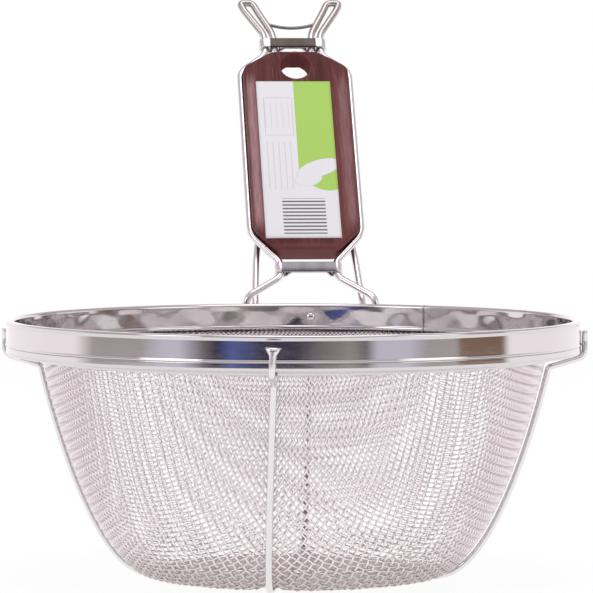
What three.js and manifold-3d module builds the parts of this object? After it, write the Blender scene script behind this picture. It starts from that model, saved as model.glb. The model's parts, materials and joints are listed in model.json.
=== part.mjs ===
// Noodle strainer: a steel mesh basket in a polished rim, carried by a wooden grip on a bent wire frame.
// Millimetres, +Z up. The origin is on the basket's axis, on the table that the strainer stands on.
// The handle is at +Y, and the side that faces the cook is at -Y.
import * as THREE from "three";
import { mergeVertices } from "three/addons/utils/BufferGeometryUtils.js";
import Module from "manifold-3d";

// Driving dimensions of the rim
const RIM_DIAMETER = 190;
const RIM_HEIGHT = 85.5;
const LIP_OVERHANG = 0.8;
const SHEET = 0.6;
const BAND_DROP = 8;
const RING_DROP = 12.7;
const RING_SKIRT = 1.6;

// Driving dimensions of the mesh bowl
const MESH_THICKNESS = 1.1;
const STRAND_WIDTH = 3;
const THROAT_SETBACK = 12.2;
const FLOOR_DIAMETER = 94;
const FLOOR_RINGS = [0.4, 0.7];
const CORNER_REACH = 15.4;
const WALL_LEAN = 12.6;
const WALL_STRETCH = 28;

// Driving dimensions of the two crossed ribs and their pins
const RIB_DIAMETER = 2.2;
const RIB_STRAY = 4.3;
const RIB_HEAD_WIDTH = 5.2;
const RIB_HEAD_FLARE = 1.4;
const RIB_HEAD_RIM = 0.7;
const RIB_HEAD_THICKNESS = 2;
const RIB_HEAD_DROP = 3.7;
const PIN_DIAMETER = 1.6;
const PIN_HEAD_DIAMETER = 3;
const PIN_HEAD_HEIGHT = 0.8;

// Driving dimensions of the handle, measured along it from the level of the rim
const HANDLE_LEAN_BACK = 35;
const HANDLE_TURN = 9.6;
const GRIP_START = 21.5;
const GRIP_LENGTH = 84.3;
const GRIP_WIDTH = 38.4;
const GRIP_THICKNESS = 9;
const GRIP_EDGE = 2;
const TOP_SHOULDER_ACROSS = 10.8;
const TOP_SHOULDER_ALONG = 6.8;
const LOW_SHOULDER_ACROSS = 8.2;
const LOW_SHOULDER_ALONG = 7.5;
const HANG_HOLE_DIAMETER = 11;
const HANG_HOLE_INSET = 6.75;
const LABEL_WIDTH = 27;
const LABEL_LENGTH = 67.5;
const LABEL_THICKNESS = 0.25;
const LABEL_INSET = 14;
const LABEL_SHIFT = 1.4;

// Driving dimensions of the handle wires, clips and hook
const HANDLE_WIRE_DIAMETER = 2.6;
const WIRE_PROUD = 0.65;
const FRONT_FOOT_SPREAD = 45.6;
const BACK_FOOT_SPREAD = 38;
const FOOT_LENGTH = 7.5;
const FOOT_RISE = 2;
const CLIP_SHEET = 0.8;
const CLIP_WIDTH = 4;
const LOW_CLIP_SPREAD = 19.6;
const LOW_CLIP_GAP = 5.4;
const TOP_CLIP_SPREAD = 20.2;
const TOP_CLIP_INNER_SPREAD = 13.6;
const TOP_CLIP_GAP = 3.3;
const EAR_SPREAD = 32.2;
const EAR_NECK_SPREAD = 29.2;
const EAR_WIDTH = 4.6;
const EAR_HEIGHT = 17;
const EAR_NECK = 3.5;
const HOOK_WIRE_DIAMETER = 1.2;
const HOOK_SEAT = 5.4;
const HOOK_SAG = 2;
const BEND = 2.4;
const FIT = 0.3;

// Facets round a turned piece, round a wire, and along the wires
const TURNED_SIDES = 48;
const WIRE_SIDES = 8;
const PIN_SIDES = 12;
const HOOK_STEPS = 12;
const BEND_STEP = 15;
const WALL_STEPS = 7;
const ARC_STEPS = 4;

// Sizes worked out from the driving dimensions
const rimRadius = RIM_DIAMETER / 2;
const bandRadius = rimRadius - LIP_OVERHANG;
const linerRadius = bandRadius - 2 * SHEET - MESH_THICKNESS - 2 * FIT;
const lipRadius = (rimRadius - linerRadius) / 2;
const coreRadius = lipRadius - SHEET - FIT;
const throatRadius = rimRadius - THROAT_SETBACK;
const ribRadius = RIB_DIAMETER / 2;
const ribApothem = ribRadius * Math.cos(Math.PI / WIRE_SIDES);
const meshFloor = 2 * ribApothem + FIT + MESH_THICKNESS / 2;
const wireRadius = HANDLE_WIRE_DIAMETER / 2;
const gripTop = GRIP_START + GRIP_LENGTH;
const backPlane = -(GRIP_THICKNESS / 2 + FIT + wireRadius);
const footRadius = rimRadius + FIT + wireRadius;
const ribTopRadius = bandRadius + FIT + ribRadius;
const pinRadius = PIN_DIAMETER / 2;
const pinHeight = RIM_HEIGHT - RIB_HEAD_DROP - (RIB_HEAD_RIM + RIB_HEAD_FLARE) / 2;
const quarterTurn = Math.PI / 2;

const wasm = await Module();
wasm.setup();

const polishedSteel = new THREE.MeshStandardMaterial({ color: 0xd9d6d6, roughness: 0.12, metalness: 1 });
const meshSteel = new THREE.MeshStandardMaterial({ color: 0xdcd6d6, roughness: 0.3, metalness: 1 });
const wireSteel = new THREE.MeshStandardMaterial({ color: 0xd2cdcc, roughness: 0.25, metalness: 1 });
const clipSteel = new THREE.MeshStandardMaterial({ color: 0x8c8784, roughness: 0.4, metalness: 1 });
const stainedWood = new THREE.MeshStandardMaterial({ color: 0x5a2422, roughness: 0.5, metalness: 0 });
const labelPaper = new THREE.MeshStandardMaterial({ color: 0xf1f3ea, roughness: 0.6, metalness: 0 });

const strainer = new THREE.Group();
const handleSeat = new THREE.Group();
const handle = new THREE.Group();
handleSeat.position.set(0, Math.sqrt(footRadius ** 2 - (FRONT_FOOT_SPREAD / 2) ** 2), RIM_HEIGHT);
handleSeat.rotation.z = THREE.MathUtils.degToRad(HANDLE_TURN);
handle.rotation.x = -THREE.MathUtils.degToRad(HANDLE_LEAN_BACK);
handleSeat.add(handle);
strainer.add(handleSeat);
strainer.updateMatrixWorld(true);

function addPiece(parent, name, geometry, material) {
  const mesh = new THREE.Mesh(geometry, material);
  mesh.name = name;
  parent.add(mesh);
}

// Booleans: a closed geometry as a solid, and back
function toSolid(geometry) {
  const bare = geometry.clone();
  bare.deleteAttribute("normal");
  bare.deleteAttribute("uv");
  const merged = mergeVertices(bare, 1e-4);
  return new wasm.Manifold(new wasm.Mesh({
    numProp: 3,
    vertProperties: new Float32Array(merged.attributes.position.array),
    triVerts: new Uint32Array(merged.index.array),
  }));
}

function toGeometry(solid) {
  const mesh = solid.getMesh();
  const geometry = new THREE.BufferGeometry();
  geometry.setAttribute("position", new THREE.BufferAttribute(mesh.vertProperties, 3));
  geometry.setIndex(new THREE.BufferAttribute(mesh.triVerts, 1));
  return geometry;
}

// Turned pieces: a closed section of [radius, height] points carried round the basket's axis
function turned(section, closed) {
  const points = section.map(([r, z]) => new THREE.Vector2(r, z));
  if (closed) points.push(points[0].clone());
  const geometry = new THREE.LatheGeometry(points, TURNED_SIDES);
  return geometry.rotateX(quarterTurn);
}

// Points on an arc round a centre, from one angle to another in degrees
function arc([r, z], radius, from, to, steps) {
  return Array.from({ length: steps + 1 }, (_, i) => {
    const angle = THREE.MathUtils.degToRad(from + ((to - from) * i) / steps);
    return [r + radius * Math.cos(angle), z + radius * Math.sin(angle)];
  });
}

// The two faces of a sheet whose middle line is given: points moved half a thickness along the mitre
function sheetFaces(line, thickness) {
  const unit = (from, to) => {
    const length = Math.hypot(to[0] - from[0], to[1] - from[1]);
    return [(to[0] - from[0]) / length, (to[1] - from[1]) / length];
  };
  const shifted = (sign) => line.map((point, i) => {
    const before = unit(line[Math.max(i - 1, 0)], line[Math.max(i, 1)]);
    const after = unit(line[Math.min(i, line.length - 2)], line[Math.min(i + 1, line.length - 1)]);
    const sum = [before[0] + after[0], before[1] + after[1]];
    const length = Math.hypot(...sum);
    const mitre = [sum[1] / length, -sum[0] / length];
    const reach = (sign * thickness) / 2 / (mitre[0] * after[1] - mitre[1] * after[0]);
    return [point[0] + mitre[0] * reach, point[1] + mitre[1] * reach];
  });
  return { right: shifted(1), left: shifted(-1) };
}

// Wires: a regular section carried along a route of straight runs with rounded corners
class WireRoute extends THREE.Curve {
  constructor(points) {
    super();
    this.points = points;
  }

  get steps() {
    return this.points.length - 1;
  }

  getPointAt(share) {
    return this.points[Math.round(share * this.steps)].clone();
  }

  getTangentAt(share) {
    const i = Math.round(share * this.steps);
    const direction = (from, to) => this.points[to].clone().sub(this.points[from]).normalize();
    const before = direction(Math.max(i - 1, 0), Math.max(i, 1));
    const after = direction(Math.min(i, this.steps - 1), Math.min(i + 1, this.steps));
    return before.add(after).normalize();
  }
}

// The corners of a route, each one rounded over a length of up to one bend on both sides
function bentRoute(corners, bend) {
  const points = [corners[0]];
  for (let i = 1; i < corners.length - 1; i += 1) {
    const corner = corners[i];
    const into = corners[i - 1].clone().sub(corner);
    const out = corners[i + 1].clone().sub(corner);
    const trim = Math.min(bend, 0.45 * into.length(), 0.45 * out.length());
    const turn = 180 - THREE.MathUtils.radToDeg(into.angleTo(out));
    if (turn < BEND_STEP) {
      points.push(corner);
    } else {
      const from = corner.clone().addScaledVector(into.normalize(), trim);
      const to = corner.clone().addScaledVector(out.normalize(), trim);
      const curve = new THREE.QuadraticBezierCurve3(from, corner, to);
      points.push(...curve.getPoints(Math.ceil(turn / BEND_STEP)));
    }
  }
  points.push(corners[corners.length - 1]);
  return new WireRoute(points);
}

function wire(route, radius) {
  const corners = Array.from({ length: WIRE_SIDES }, (_, i) => {
    const angle = ((i + 0.5) * 2 * Math.PI) / WIRE_SIDES;
    return new THREE.Vector2(radius * Math.cos(angle), radius * Math.sin(angle));
  });
  const options = { steps: route.steps, extrudePath: route, bevelEnabled: false };
  return new THREE.ExtrudeGeometry(new THREE.Shape(corners), options);
}

// Clamp ring: a pressed ring under the band whose slope carries the mesh in to the throat
const ringTop = RIM_HEIGHT - BAND_DROP - FIT;
const ringFoot = RIM_HEIGHT - RING_DROP;
const ringLine = [
  [bandRadius - SHEET / 2, ringTop],
  [bandRadius - SHEET / 2, ringTop - RING_SKIRT],
  [throatRadius + FIT + SHEET, ringFoot + SHEET],
  [throatRadius + FIT + SHEET / 2, ringFoot],
];
const ringFaces = sheetFaces(ringLine, SHEET);
const ringSection = [...ringFaces.right, ...ringFaces.left.reverse()];
addPiece(strainer, "clamp_ring", turned(ringSection, true), polishedSteel);

// Mesh bowl: the woven sheet as a thin wall, flat below, curved up to the throat, out along the ring's
// slope and up into the slot between the band's two walls. The weave's own gaps are too fine for a solid,
// so a plain grid of larger openings stands for them
const slope = new THREE.Vector2(ringLine[2][0] - ringLine[1][0], ringLine[2][1] - ringLine[1][1]).normalize();
const meshOffset = SHEET / 2 + FIT + MESH_THICKNESS / 2;
const onSlope = ([r, z]) => [r + slope.y * meshOffset, z - slope.x * meshOffset];
const slopeTop = onSlope(ringLine[1]);
const slopeHeight = (r) => slopeTop[1] + ((r - slopeTop[0]) * slope.y) / slope.x;
const slotRadius = bandRadius - SHEET - FIT - MESH_THICKNESS / 2;
const throat = [throatRadius - MESH_THICKNESS / 2, ringFoot - FIT];
const slopeFootRadius = throatRadius + FIT;

function bowlLine() {
  const lean = THREE.MathUtils.degToRad(WALL_LEAN);
  const wall = new THREE.CubicBezierCurve(
    new THREE.Vector2(FLOOR_DIAMETER / 2, meshFloor),
    new THREE.Vector2(FLOOR_DIAMETER / 2 + CORNER_REACH, meshFloor),
    new THREE.Vector2(throat[0] - WALL_STRETCH * Math.sin(lean), throat[1] - WALL_STRETCH * Math.cos(lean)),
    new THREE.Vector2(...throat),
  );
  return [[0, meshFloor], ...wall.getPoints(WALL_STEPS).map(({ x, y }) => [x, y])];
}

const bowl = bowlLine();

// The ends of a row of openings, half a strand's width inside the ends of its stretch of the bowl's line
function openingEnds([r, z], [nextR, nextZ]) {
  const inset = STRAND_WIDTH / 2 / Math.hypot(nextR - r, nextZ - z);
  return [inset, 1 - inset].map((share) => [r + (nextR - r) * share, z + (nextZ - z) * share]);
}

// A sheet in rows of cells round the axis, closed by walls at its edge and round each cell that is left open
function openSheet(outer, inner, angleAt, isOpen) {
  const corners = [];
  const rows = outer.length - 1;
  const corner = (face, row, column) => {
    const angle = angleAt(row, column);
    const [r, z] = face[row];
    return new THREE.Vector3(r * Math.sin(angle), -r * Math.cos(angle), z);
  };
  const addQuad = (a, b, c, d) => {
    if (!a.equals(b)) corners.push(a, b, c);
    corners.push(a, c, d);
  };
  const addWall = (start, stop) => {
    addQuad(corner(outer, ...start), corner(outer, ...stop), corner(inner, ...stop), corner(inner, ...start));
  };
  for (let column = 0; column < TURNED_SIDES; column += 1) {
    const next = (column + 1) % TURNED_SIDES;
    for (let row = 0; row < rows; row += 1) {
      const ring = [[row, column], [row, next], [row + 1, next], [row + 1, column]];
      if (isOpen(row, column)) {
        ring.forEach((start, i) => addWall(start, ring[(i + 1) % ring.length]));
      } else {
        const [a, b, c, d] = ring;
        addQuad(...ring.map((place) => corner(outer, ...place)));
        addQuad(...[b, a, d, c].map((place) => corner(inner, ...place)));
      }
    }
    addWall([rows, column], [rows, next]);
  }
  return new THREE.BufferGeometry().setFromPoints(corners);
}

const floorRings = FLOOR_RINGS.map((share) => [(share * FLOOR_DIAMETER) / 2, meshFloor]);
const stretches = [...floorRings, ...bowl.slice(1)];
const bowlStations = [bowl[0], ...stretches.slice(1).flatMap((end, i) => openingEnds(stretches[i], end))];
const meshLine = [
  ...bowlStations,
  throat,
  [slopeFootRadius, slopeHeight(slopeFootRadius)],
  [slotRadius, slopeHeight(slotRadius)],
  [slotRadius, pinHeight - pinRadius - 2 * FIT],
];

// Strands run up the bowl on both sides of every other facet edge; the collar above has plain facets
function meshAngle(row, column) {
  const facet = (2 * Math.PI) / TURNED_SIDES;
  if (row >= bowlStations.length) return column * facet;
  const strand = row > 0 ? Math.asin(STRAND_WIDTH / 2 / meshLine[row][0]) : 0;
  return column % 2 === 0 ? column * facet + strand : (column + 1) * facet - strand;
}

const isMeshOpening = (row, column) => row < bowlStations.length && row % 2 === 1 && column % 2 === 0;
const meshFaces = sheetFaces(meshLine, MESH_THICKNESS);
const meshBasket = toSolid(openSheet(meshFaces.right, meshFaces.left, meshAngle, isMeshOpening));
addPiece(strainer, "mesh_basket", toGeometry(meshBasket), meshSteel);

// Rim band: one sheet folded over the core wire, a wall outside and a wall inside the mesh's edge
const lipCentre = [rimRadius - lipRadius, RIM_HEIGHT - lipRadius];

function rimBandSection() {
  const bandFoot = RIM_HEIGHT - BAND_DROP;
  const bandUnderLip = RIM_HEIGHT - 2 * lipRadius + SHEET;
  const linerEdge = linerRadius + SHEET;
  const linerFoot = slopeHeight(linerEdge) - (MESH_THICKNESS / 2 + FIT) / slope.x;
  return [
    [bandRadius, bandFoot],
    [bandRadius, bandUnderLip],
    ...arc(lipCentre, lipRadius, -45, 180, 3 * ARC_STEPS),
    [linerRadius, linerFoot],
    [linerEdge, linerFoot],
    ...arc(lipCentre, lipRadius - SHEET, 180, 0, 2 * ARC_STEPS),
    [bandRadius - SHEET, bandUnderLip - SHEET],
    [bandRadius - SHEET, bandFoot],
  ];
}

// A piece at the front, turned round the axis by quarters to the place of each rib
const ribPlaces = [["front", 0], ["right", 1], ["back", 2], ["left", 3]];

function pinAt(quarters, radius, from, to) {
  const pin = new THREE.CylinderGeometry(radius, radius, to - from, PIN_SIDES);
  pin.translate(0, -(from + to) / 2, pinHeight);
  return pin.rotateZ(quarters * quarterTurn);
}

let rimBand = toSolid(turned(rimBandSection(), true));
for (const [, quarters] of ribPlaces) {
  const bore = pinAt(quarters, pinRadius + FIT, linerRadius - SHEET, bandRadius + SHEET);
  rimBand = rimBand.subtract(toSolid(bore));
}
addPiece(strainer, "rim_band", toGeometry(rimBand), polishedSteel);
addPiece(strainer, "rim_core_wire", turned(arc(lipCentre, coreRadius, 0, 315, 7), true), wireSteel);

// Ribs: two wires crossed under the bowl, each bent up outside the wall and the band to a flattened head
const headBase = RIM_HEIGHT - RIB_HEAD_DROP - RIB_HEAD_RIM - RIB_HEAD_FLARE;

function ribHead(quarters) {
  const fan = new THREE.Shape([
    new THREE.Vector2(-ribRadius, headBase),
    new THREE.Vector2(ribRadius, headBase),
    new THREE.Vector2(RIB_HEAD_WIDTH / 2, headBase + RIB_HEAD_FLARE),
    new THREE.Vector2(RIB_HEAD_WIDTH / 2, headBase + RIB_HEAD_FLARE + RIB_HEAD_RIM),
    new THREE.Vector2(-RIB_HEAD_WIDTH / 2, headBase + RIB_HEAD_FLARE + RIB_HEAD_RIM),
    new THREE.Vector2(-RIB_HEAD_WIDTH / 2, headBase + RIB_HEAD_FLARE),
  ]);
  const head = new THREE.ExtrudeGeometry(fan, { depth: RIB_HEAD_THICKNESS, bevelEnabled: false });
  head.rotateX(quarterTurn).translate(0, -(bandRadius + FIT), 0);
  return head.rotateZ(quarters * quarterTurn);
}

// The rib's line on one side, as [distance from the axis, height], from the head down to the floor
function ribLine() {
  const roundRing = sheetFaces(ringLine, SHEET + 4 * FIT + RIB_DIAMETER).left;
  const underBowl = sheetFaces(bowl, MESH_THICKNESS + 2 * FIT + 2 * ribApothem).right;
  const underRing = roundRing[2][1] - RIB_DIAMETER;
  return [
    [ribTopRadius, headBase + RIB_HEAD_FLARE],
    roundRing[1],
    roundRing[2],
    ...underBowl.slice(1).filter(([, z]) => z < underRing).reverse(),
  ];
}

// Both sides of a rib, the first of which may stray to its left on the way down to the floor
function ribRoute(quarters, stray) {
  const line = ribLine();
  const top = line[0][1];
  const up = new THREE.Vector3(0, 0, 1);
  const half = (sign, drift) => line.map(([r, z]) => {
    const x = (-drift * (top - z)) / (top - ribApothem);
    return new THREE.Vector3(x, sign * r, z).applyAxisAngle(up, quarters * quarterTurn);
  });
  return bentRoute([...half(-1, stray), ...half(1, 0).reverse()], BEND);
}

// Where the ribs cross, each loses half its height, so that both lie flat on the table at height 0
function rib(quarters, stray, keepsLowerHalf) {
  const notchLength = 2 * (ribRadius + FIT);
  const notch = new THREE.BoxGeometry(notchLength, notchLength, RIB_DIAMETER);
  const shift = (ribRadius - FIT / 2) * (keepsLowerHalf ? 1 : -1);
  notch.translate(-RIB_STRAY / 2, 0, ribApothem + shift);
  const table = new THREE.BoxGeometry(RIM_DIAMETER, RIM_DIAMETER, RIB_DIAMETER);
  table.translate(0, 0, -ribRadius);
  return toSolid(wire(ribRoute(quarters, stray), ribRadius))
    .add(toSolid(ribHead(quarters)))
    .add(toSolid(ribHead(quarters + 2)))
    .subtract(toSolid(notch))
    .subtract(toSolid(table));
}

addPiece(strainer, "rib_front_back", toGeometry(rib(0, RIB_STRAY, false)), wireSteel);
addPiece(strainer, "rib_left_right", toGeometry(rib(1, 0, true)), wireSteel);

// Pins: a shank through both walls of the band behind each rib head, with a flat head inside
for (const [place, quarters] of ribPlaces) {
  const shank = pinAt(quarters, pinRadius, linerRadius - FIT - PIN_HEAD_HEIGHT / 2, bandRadius);
  const inside = linerRadius - FIT;
  const head = pinAt(quarters, PIN_HEAD_DIAMETER / 2, inside - PIN_HEAD_HEIGHT, inside);
  addPiece(strainer, `rib_pin_${place}`, toGeometry(toSolid(shank).add(toSolid(head))), wireSteel);
}

// Handle wires: from a foot on the band through the low clip, along the grip's side and through the top
// clip, round the hook ear, and back down behind the grip to a second foot
const sideX = GRIP_WIDTH / 2 + WIRE_PROUD;
const lowClip = GRIP_START - LOW_CLIP_GAP - CLIP_WIDTH / 2;
const topClip = gripTop + TOP_CLIP_GAP + CLIP_WIDTH / 2;
const clipReach = CLIP_WIDTH / 2 + BEND;
const earTop = topClip + CLIP_WIDTH / 2 + EAR_HEIGHT;

function footPoint(side, spread, drop) {
  const x = (side * spread) / 2;
  return new THREE.Vector3(x, Math.sqrt(footRadius ** 2 - x ** 2), RIM_HEIGHT - drop);
}

function handleWireRoute(side) {
  const onHandle = ([x, along, out]) => handle.localToWorld(new THREE.Vector3(side * x, -out, along));
  const front = [
    [LOW_CLIP_SPREAD / 2, lowClip - clipReach, 0],
    [LOW_CLIP_SPREAD / 2, lowClip + clipReach, 0],
    [sideX, GRIP_START + LOW_SHOULDER_ALONG, 0],
    [sideX, gripTop - TOP_SHOULDER_ALONG, 0],
    [TOP_CLIP_SPREAD / 2, topClip - clipReach, 0],
    [TOP_CLIP_SPREAD / 2, topClip + clipReach, 0],
    [(EAR_NECK_SPREAD + EAR_WIDTH) / 2, earTop - EAR_NECK, 0],
    [(EAR_SPREAD + EAR_WIDTH) / 2, earTop, 0],
  ];
  const back = [
    [(EAR_SPREAD - EAR_WIDTH) / 2, earTop, 0],
    [(EAR_NECK_SPREAD - EAR_WIDTH) / 2, earTop - EAR_NECK, 0],
    [TOP_CLIP_INNER_SPREAD / 2, topClip + clipReach, 0],
    [TOP_CLIP_INNER_SPREAD / 2, topClip - clipReach, 0],
    [TOP_CLIP_INNER_SPREAD / 2, gripTop - GRIP_EDGE, backPlane],
    [BACK_FOOT_SPREAD / 2 - wireRadius, GRIP_START, backPlane],
    [BACK_FOOT_SPREAD / 2, FOOT_RISE + BEND, backPlane],
  ];
  return bentRoute([
    footPoint(side, FRONT_FOOT_SPREAD, FOOT_LENGTH),
    footPoint(side, FRONT_FOOT_SPREAD, -FOOT_RISE),
    ...front.map(onHandle),
    ...back.map(onHandle),
    footPoint(side, BACK_FOOT_SPREAD, FOOT_LENGTH / 2),
    footPoint(side, BACK_FOOT_SPREAD, BAND_DROP + FOOT_LENGTH / 2),
  ], BEND);
}

const sides = [["left", -1], ["right", 1]];
const handleWires = sides.map(([name, side]) => ({ name, route: handleWireRoute(side) }));
const wireClearances = handleWires.map(({ route }) => toSolid(wire(route, wireRadius + FIT)));
for (const { name, route } of handleWires) {
  addPiece(strainer, `handle_wire_${name}`, wire(route, wireRadius), wireSteel);
}

// Hook wire: sags between the inner strands of the two ears, and stops short of each strand
function hookRoute() {
  const share = HOOK_SEAT / (earTop - EAR_NECK - topClip - clipReach);
  const inner = TOP_CLIP_INNER_SPREAD / 2;
  const seatX = inner + ((EAR_NECK_SPREAD - EAR_WIDTH) / 2 - inner) * share;
  const seatAlong = topClip + clipReach + HOOK_SEAT;
  const points = [-1, 0, 1].map((side) => new THREE.Vector3(
    side * seatX,
    0,
    seatAlong - (side === 0 ? 2 * HOOK_SAG : 0),
  ));
  const sag = new THREE.QuadraticBezierCurve3(...points.map((point) => handle.localToWorld(point)));
  return new WireRoute(sag.getPoints(HOOK_STEPS));
}

let hookWire = toSolid(wire(hookRoute(), HOOK_WIRE_DIAMETER / 2));
for (const clearance of wireClearances) hookWire = hookWire.subtract(clearance);
addPiece(strainer, "hook_wire", toGeometry(hookWire), wireSteel);

// Grip: a flat board with cut corners and eased edges, grooved where the wires pass, with a hanging hole
function gripSolid() {
  const half = GRIP_WIDTH / 2 - GRIP_EDGE;
  const low = GRIP_START + GRIP_EDGE;
  const high = gripTop - GRIP_EDGE;
  const outline = new THREE.Shape([
    new THREE.Vector2(-half + LOW_SHOULDER_ACROSS, low),
    new THREE.Vector2(half - LOW_SHOULDER_ACROSS, low),
    new THREE.Vector2(half, low + LOW_SHOULDER_ALONG),
    new THREE.Vector2(half, high - TOP_SHOULDER_ALONG),
    new THREE.Vector2(half - TOP_SHOULDER_ACROSS, high),
    new THREE.Vector2(-half + TOP_SHOULDER_ACROSS, high),
    new THREE.Vector2(-half, high - TOP_SHOULDER_ALONG),
    new THREE.Vector2(-half, low + LOW_SHOULDER_ALONG),
  ]);
  const board = new THREE.ExtrudeGeometry(outline, {
    depth: GRIP_THICKNESS - 2 * GRIP_EDGE,
    bevelThickness: GRIP_EDGE,
    bevelSize: GRIP_EDGE,
    bevelSegments: 2,
  });
  board.translate(0, 0, -GRIP_THICKNESS / 2 + GRIP_EDGE).rotateX(quarterTurn);
  const holeRadius = HANG_HOLE_DIAMETER / 2;
  const hole = new THREE.CylinderGeometry(holeRadius, holeRadius, 2 * GRIP_THICKNESS, TURNED_SIDES / 2);
  hole.translate(0, 0, gripTop - HANG_HOLE_INSET);
  let grip = toSolid(board).subtract(toSolid(hole));
  const toHandle = handle.matrixWorld.clone().invert();
  for (const { route } of handleWires) {
    grip = grip.subtract(toSolid(wire(route, wireRadius + FIT).applyMatrix4(toHandle)));
  }
  return grip;
}

addPiece(handle, "grip", toGeometry(gripSolid()), stainedWood);

const label = new THREE.BoxGeometry(LABEL_WIDTH, LABEL_THICKNESS, LABEL_LENGTH);
label.translate(
  -LABEL_SHIFT,
  -(GRIP_THICKNESS / 2 + FIT + LABEL_THICKNESS / 2),
  gripTop - LABEL_INSET - LABEL_LENGTH / 2,
);
addPiece(handle, "grip_label", label, labelPaper);

// Clips: a strip bent into a flat loop round the wires, given as the round hull of the wires' places
function roundHull(corners, radius) {
  const points = [];
  corners.forEach((corner, i) => {
    const before = corners[(i + corners.length - 1) % corners.length];
    const after = corners[(i + 1) % corners.length];
    const from = Math.atan2(corner[1] - before[1], corner[0] - before[0]) - quarterTurn;
    let to = Math.atan2(after[1] - corner[1], after[0] - corner[0]) - quarterTurn;
    if (to < from) to += 2 * Math.PI;
    const degrees = THREE.MathUtils.radToDeg;
    points.push(...arc(corner, radius, degrees(from), degrees(to), ARC_STEPS));
  });
  return points.map(([x, y]) => new THREE.Vector2(x, y));
}

function clip(corners, along) {
  const inner = wireRadius + FIT;
  const strip = new THREE.Shape(roundHull(corners, inner + CLIP_SHEET));
  strip.holes.push(new THREE.Path(roundHull(corners, inner)));
  const loop = new THREE.ExtrudeGeometry(strip, { depth: CLIP_WIDTH, bevelEnabled: false });
  return loop.translate(0, 0, along - CLIP_WIDTH / 2);
}

const clipCorners = (spread) => [[-spread / 2, 0], [spread / 2, 0]];
addPiece(handle, "low_clip", clip(clipCorners(LOW_CLIP_SPREAD), lowClip), clipSteel);
addPiece(handle, "top_clip", clip(clipCorners(TOP_CLIP_SPREAD), topClip), clipSteel);

export default strainer;
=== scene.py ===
# %% [markdown]
# # A noodle strainer basket
# The strainer is a bowl of woven steel wire in a polished, folded rim. Two crossed wires carry the bowl
# from below, and a flat wooden grip stands at the back of the rim between two bent wires. The solids of the
# frame already say where everything is, so this lesson dresses them: each piece is worked out again as a
# fine surface in the same millimetres, and gets the finish that the real one has.

# %% The frame and its box
import json

import bpy
import numpy as np
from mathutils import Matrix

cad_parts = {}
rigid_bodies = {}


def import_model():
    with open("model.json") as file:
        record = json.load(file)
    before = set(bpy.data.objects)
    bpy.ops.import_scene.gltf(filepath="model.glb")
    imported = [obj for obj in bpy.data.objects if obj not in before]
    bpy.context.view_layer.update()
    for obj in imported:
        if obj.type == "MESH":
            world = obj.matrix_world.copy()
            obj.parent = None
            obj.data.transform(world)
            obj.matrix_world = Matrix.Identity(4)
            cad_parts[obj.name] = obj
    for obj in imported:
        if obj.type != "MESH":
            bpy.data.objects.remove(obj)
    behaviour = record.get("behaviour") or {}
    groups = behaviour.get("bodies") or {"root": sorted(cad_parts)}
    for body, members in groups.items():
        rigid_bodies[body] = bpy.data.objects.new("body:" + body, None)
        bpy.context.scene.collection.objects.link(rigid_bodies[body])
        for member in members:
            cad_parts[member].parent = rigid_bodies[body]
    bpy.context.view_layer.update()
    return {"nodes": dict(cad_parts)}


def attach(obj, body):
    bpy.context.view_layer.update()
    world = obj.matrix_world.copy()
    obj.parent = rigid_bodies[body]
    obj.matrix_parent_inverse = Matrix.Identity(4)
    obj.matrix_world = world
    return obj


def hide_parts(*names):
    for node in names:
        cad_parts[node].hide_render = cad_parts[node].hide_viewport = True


for stale in list(bpy.data.objects):
    bpy.data.objects.remove(stale)
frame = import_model()
MM = 0.001
print("solids in the frame:", len(frame["nodes"]))

# %% [markdown]
# ## From arrays to a mesh
# Every surface below is a grid of points: rows run round or along the piece, columns run across it. A grid
# could be typed in face by face, but numpy can number all its quads at once. The helper that fills the mesh
# also measures the enclosed volume, because a closed surface that comes out with a negative volume is
# inside out and only needs its faces turned.

# %% Grid faces and mesh filling
def grid_faces(rows, columns, wrap_rows=False, wrap_columns=False):
    """Quads of a grid whose point (i, j) has the number i * columns + j."""
    i = np.arange(rows if wrap_rows else rows - 1)[:, None]
    j = np.arange(columns if wrap_columns else columns - 1)[None, :]
    i_next, j_next = (i + 1) % rows, (j + 1) % columns
    row, next_row = i * columns, i_next * columns
    corners = (row + j, row + j_next, next_row + j_next, next_row + j)
    return np.stack(np.broadcast_arrays(*corners), -1).reshape(-1, 4)


def enclosed_volume(points, blocks):
    """Sum of the signed tetrahedra from the origin to each triangle of each face."""
    total = 0.0
    for block in blocks:
        for k in range(1, block.shape[1] - 1):
            a, b, c = points[block[:, 0]], points[block[:, k]], points[block[:, k + 1]]
            total += np.einsum("ij,ij->i", a, np.cross(b, c)).sum() / 6
    return total


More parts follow.
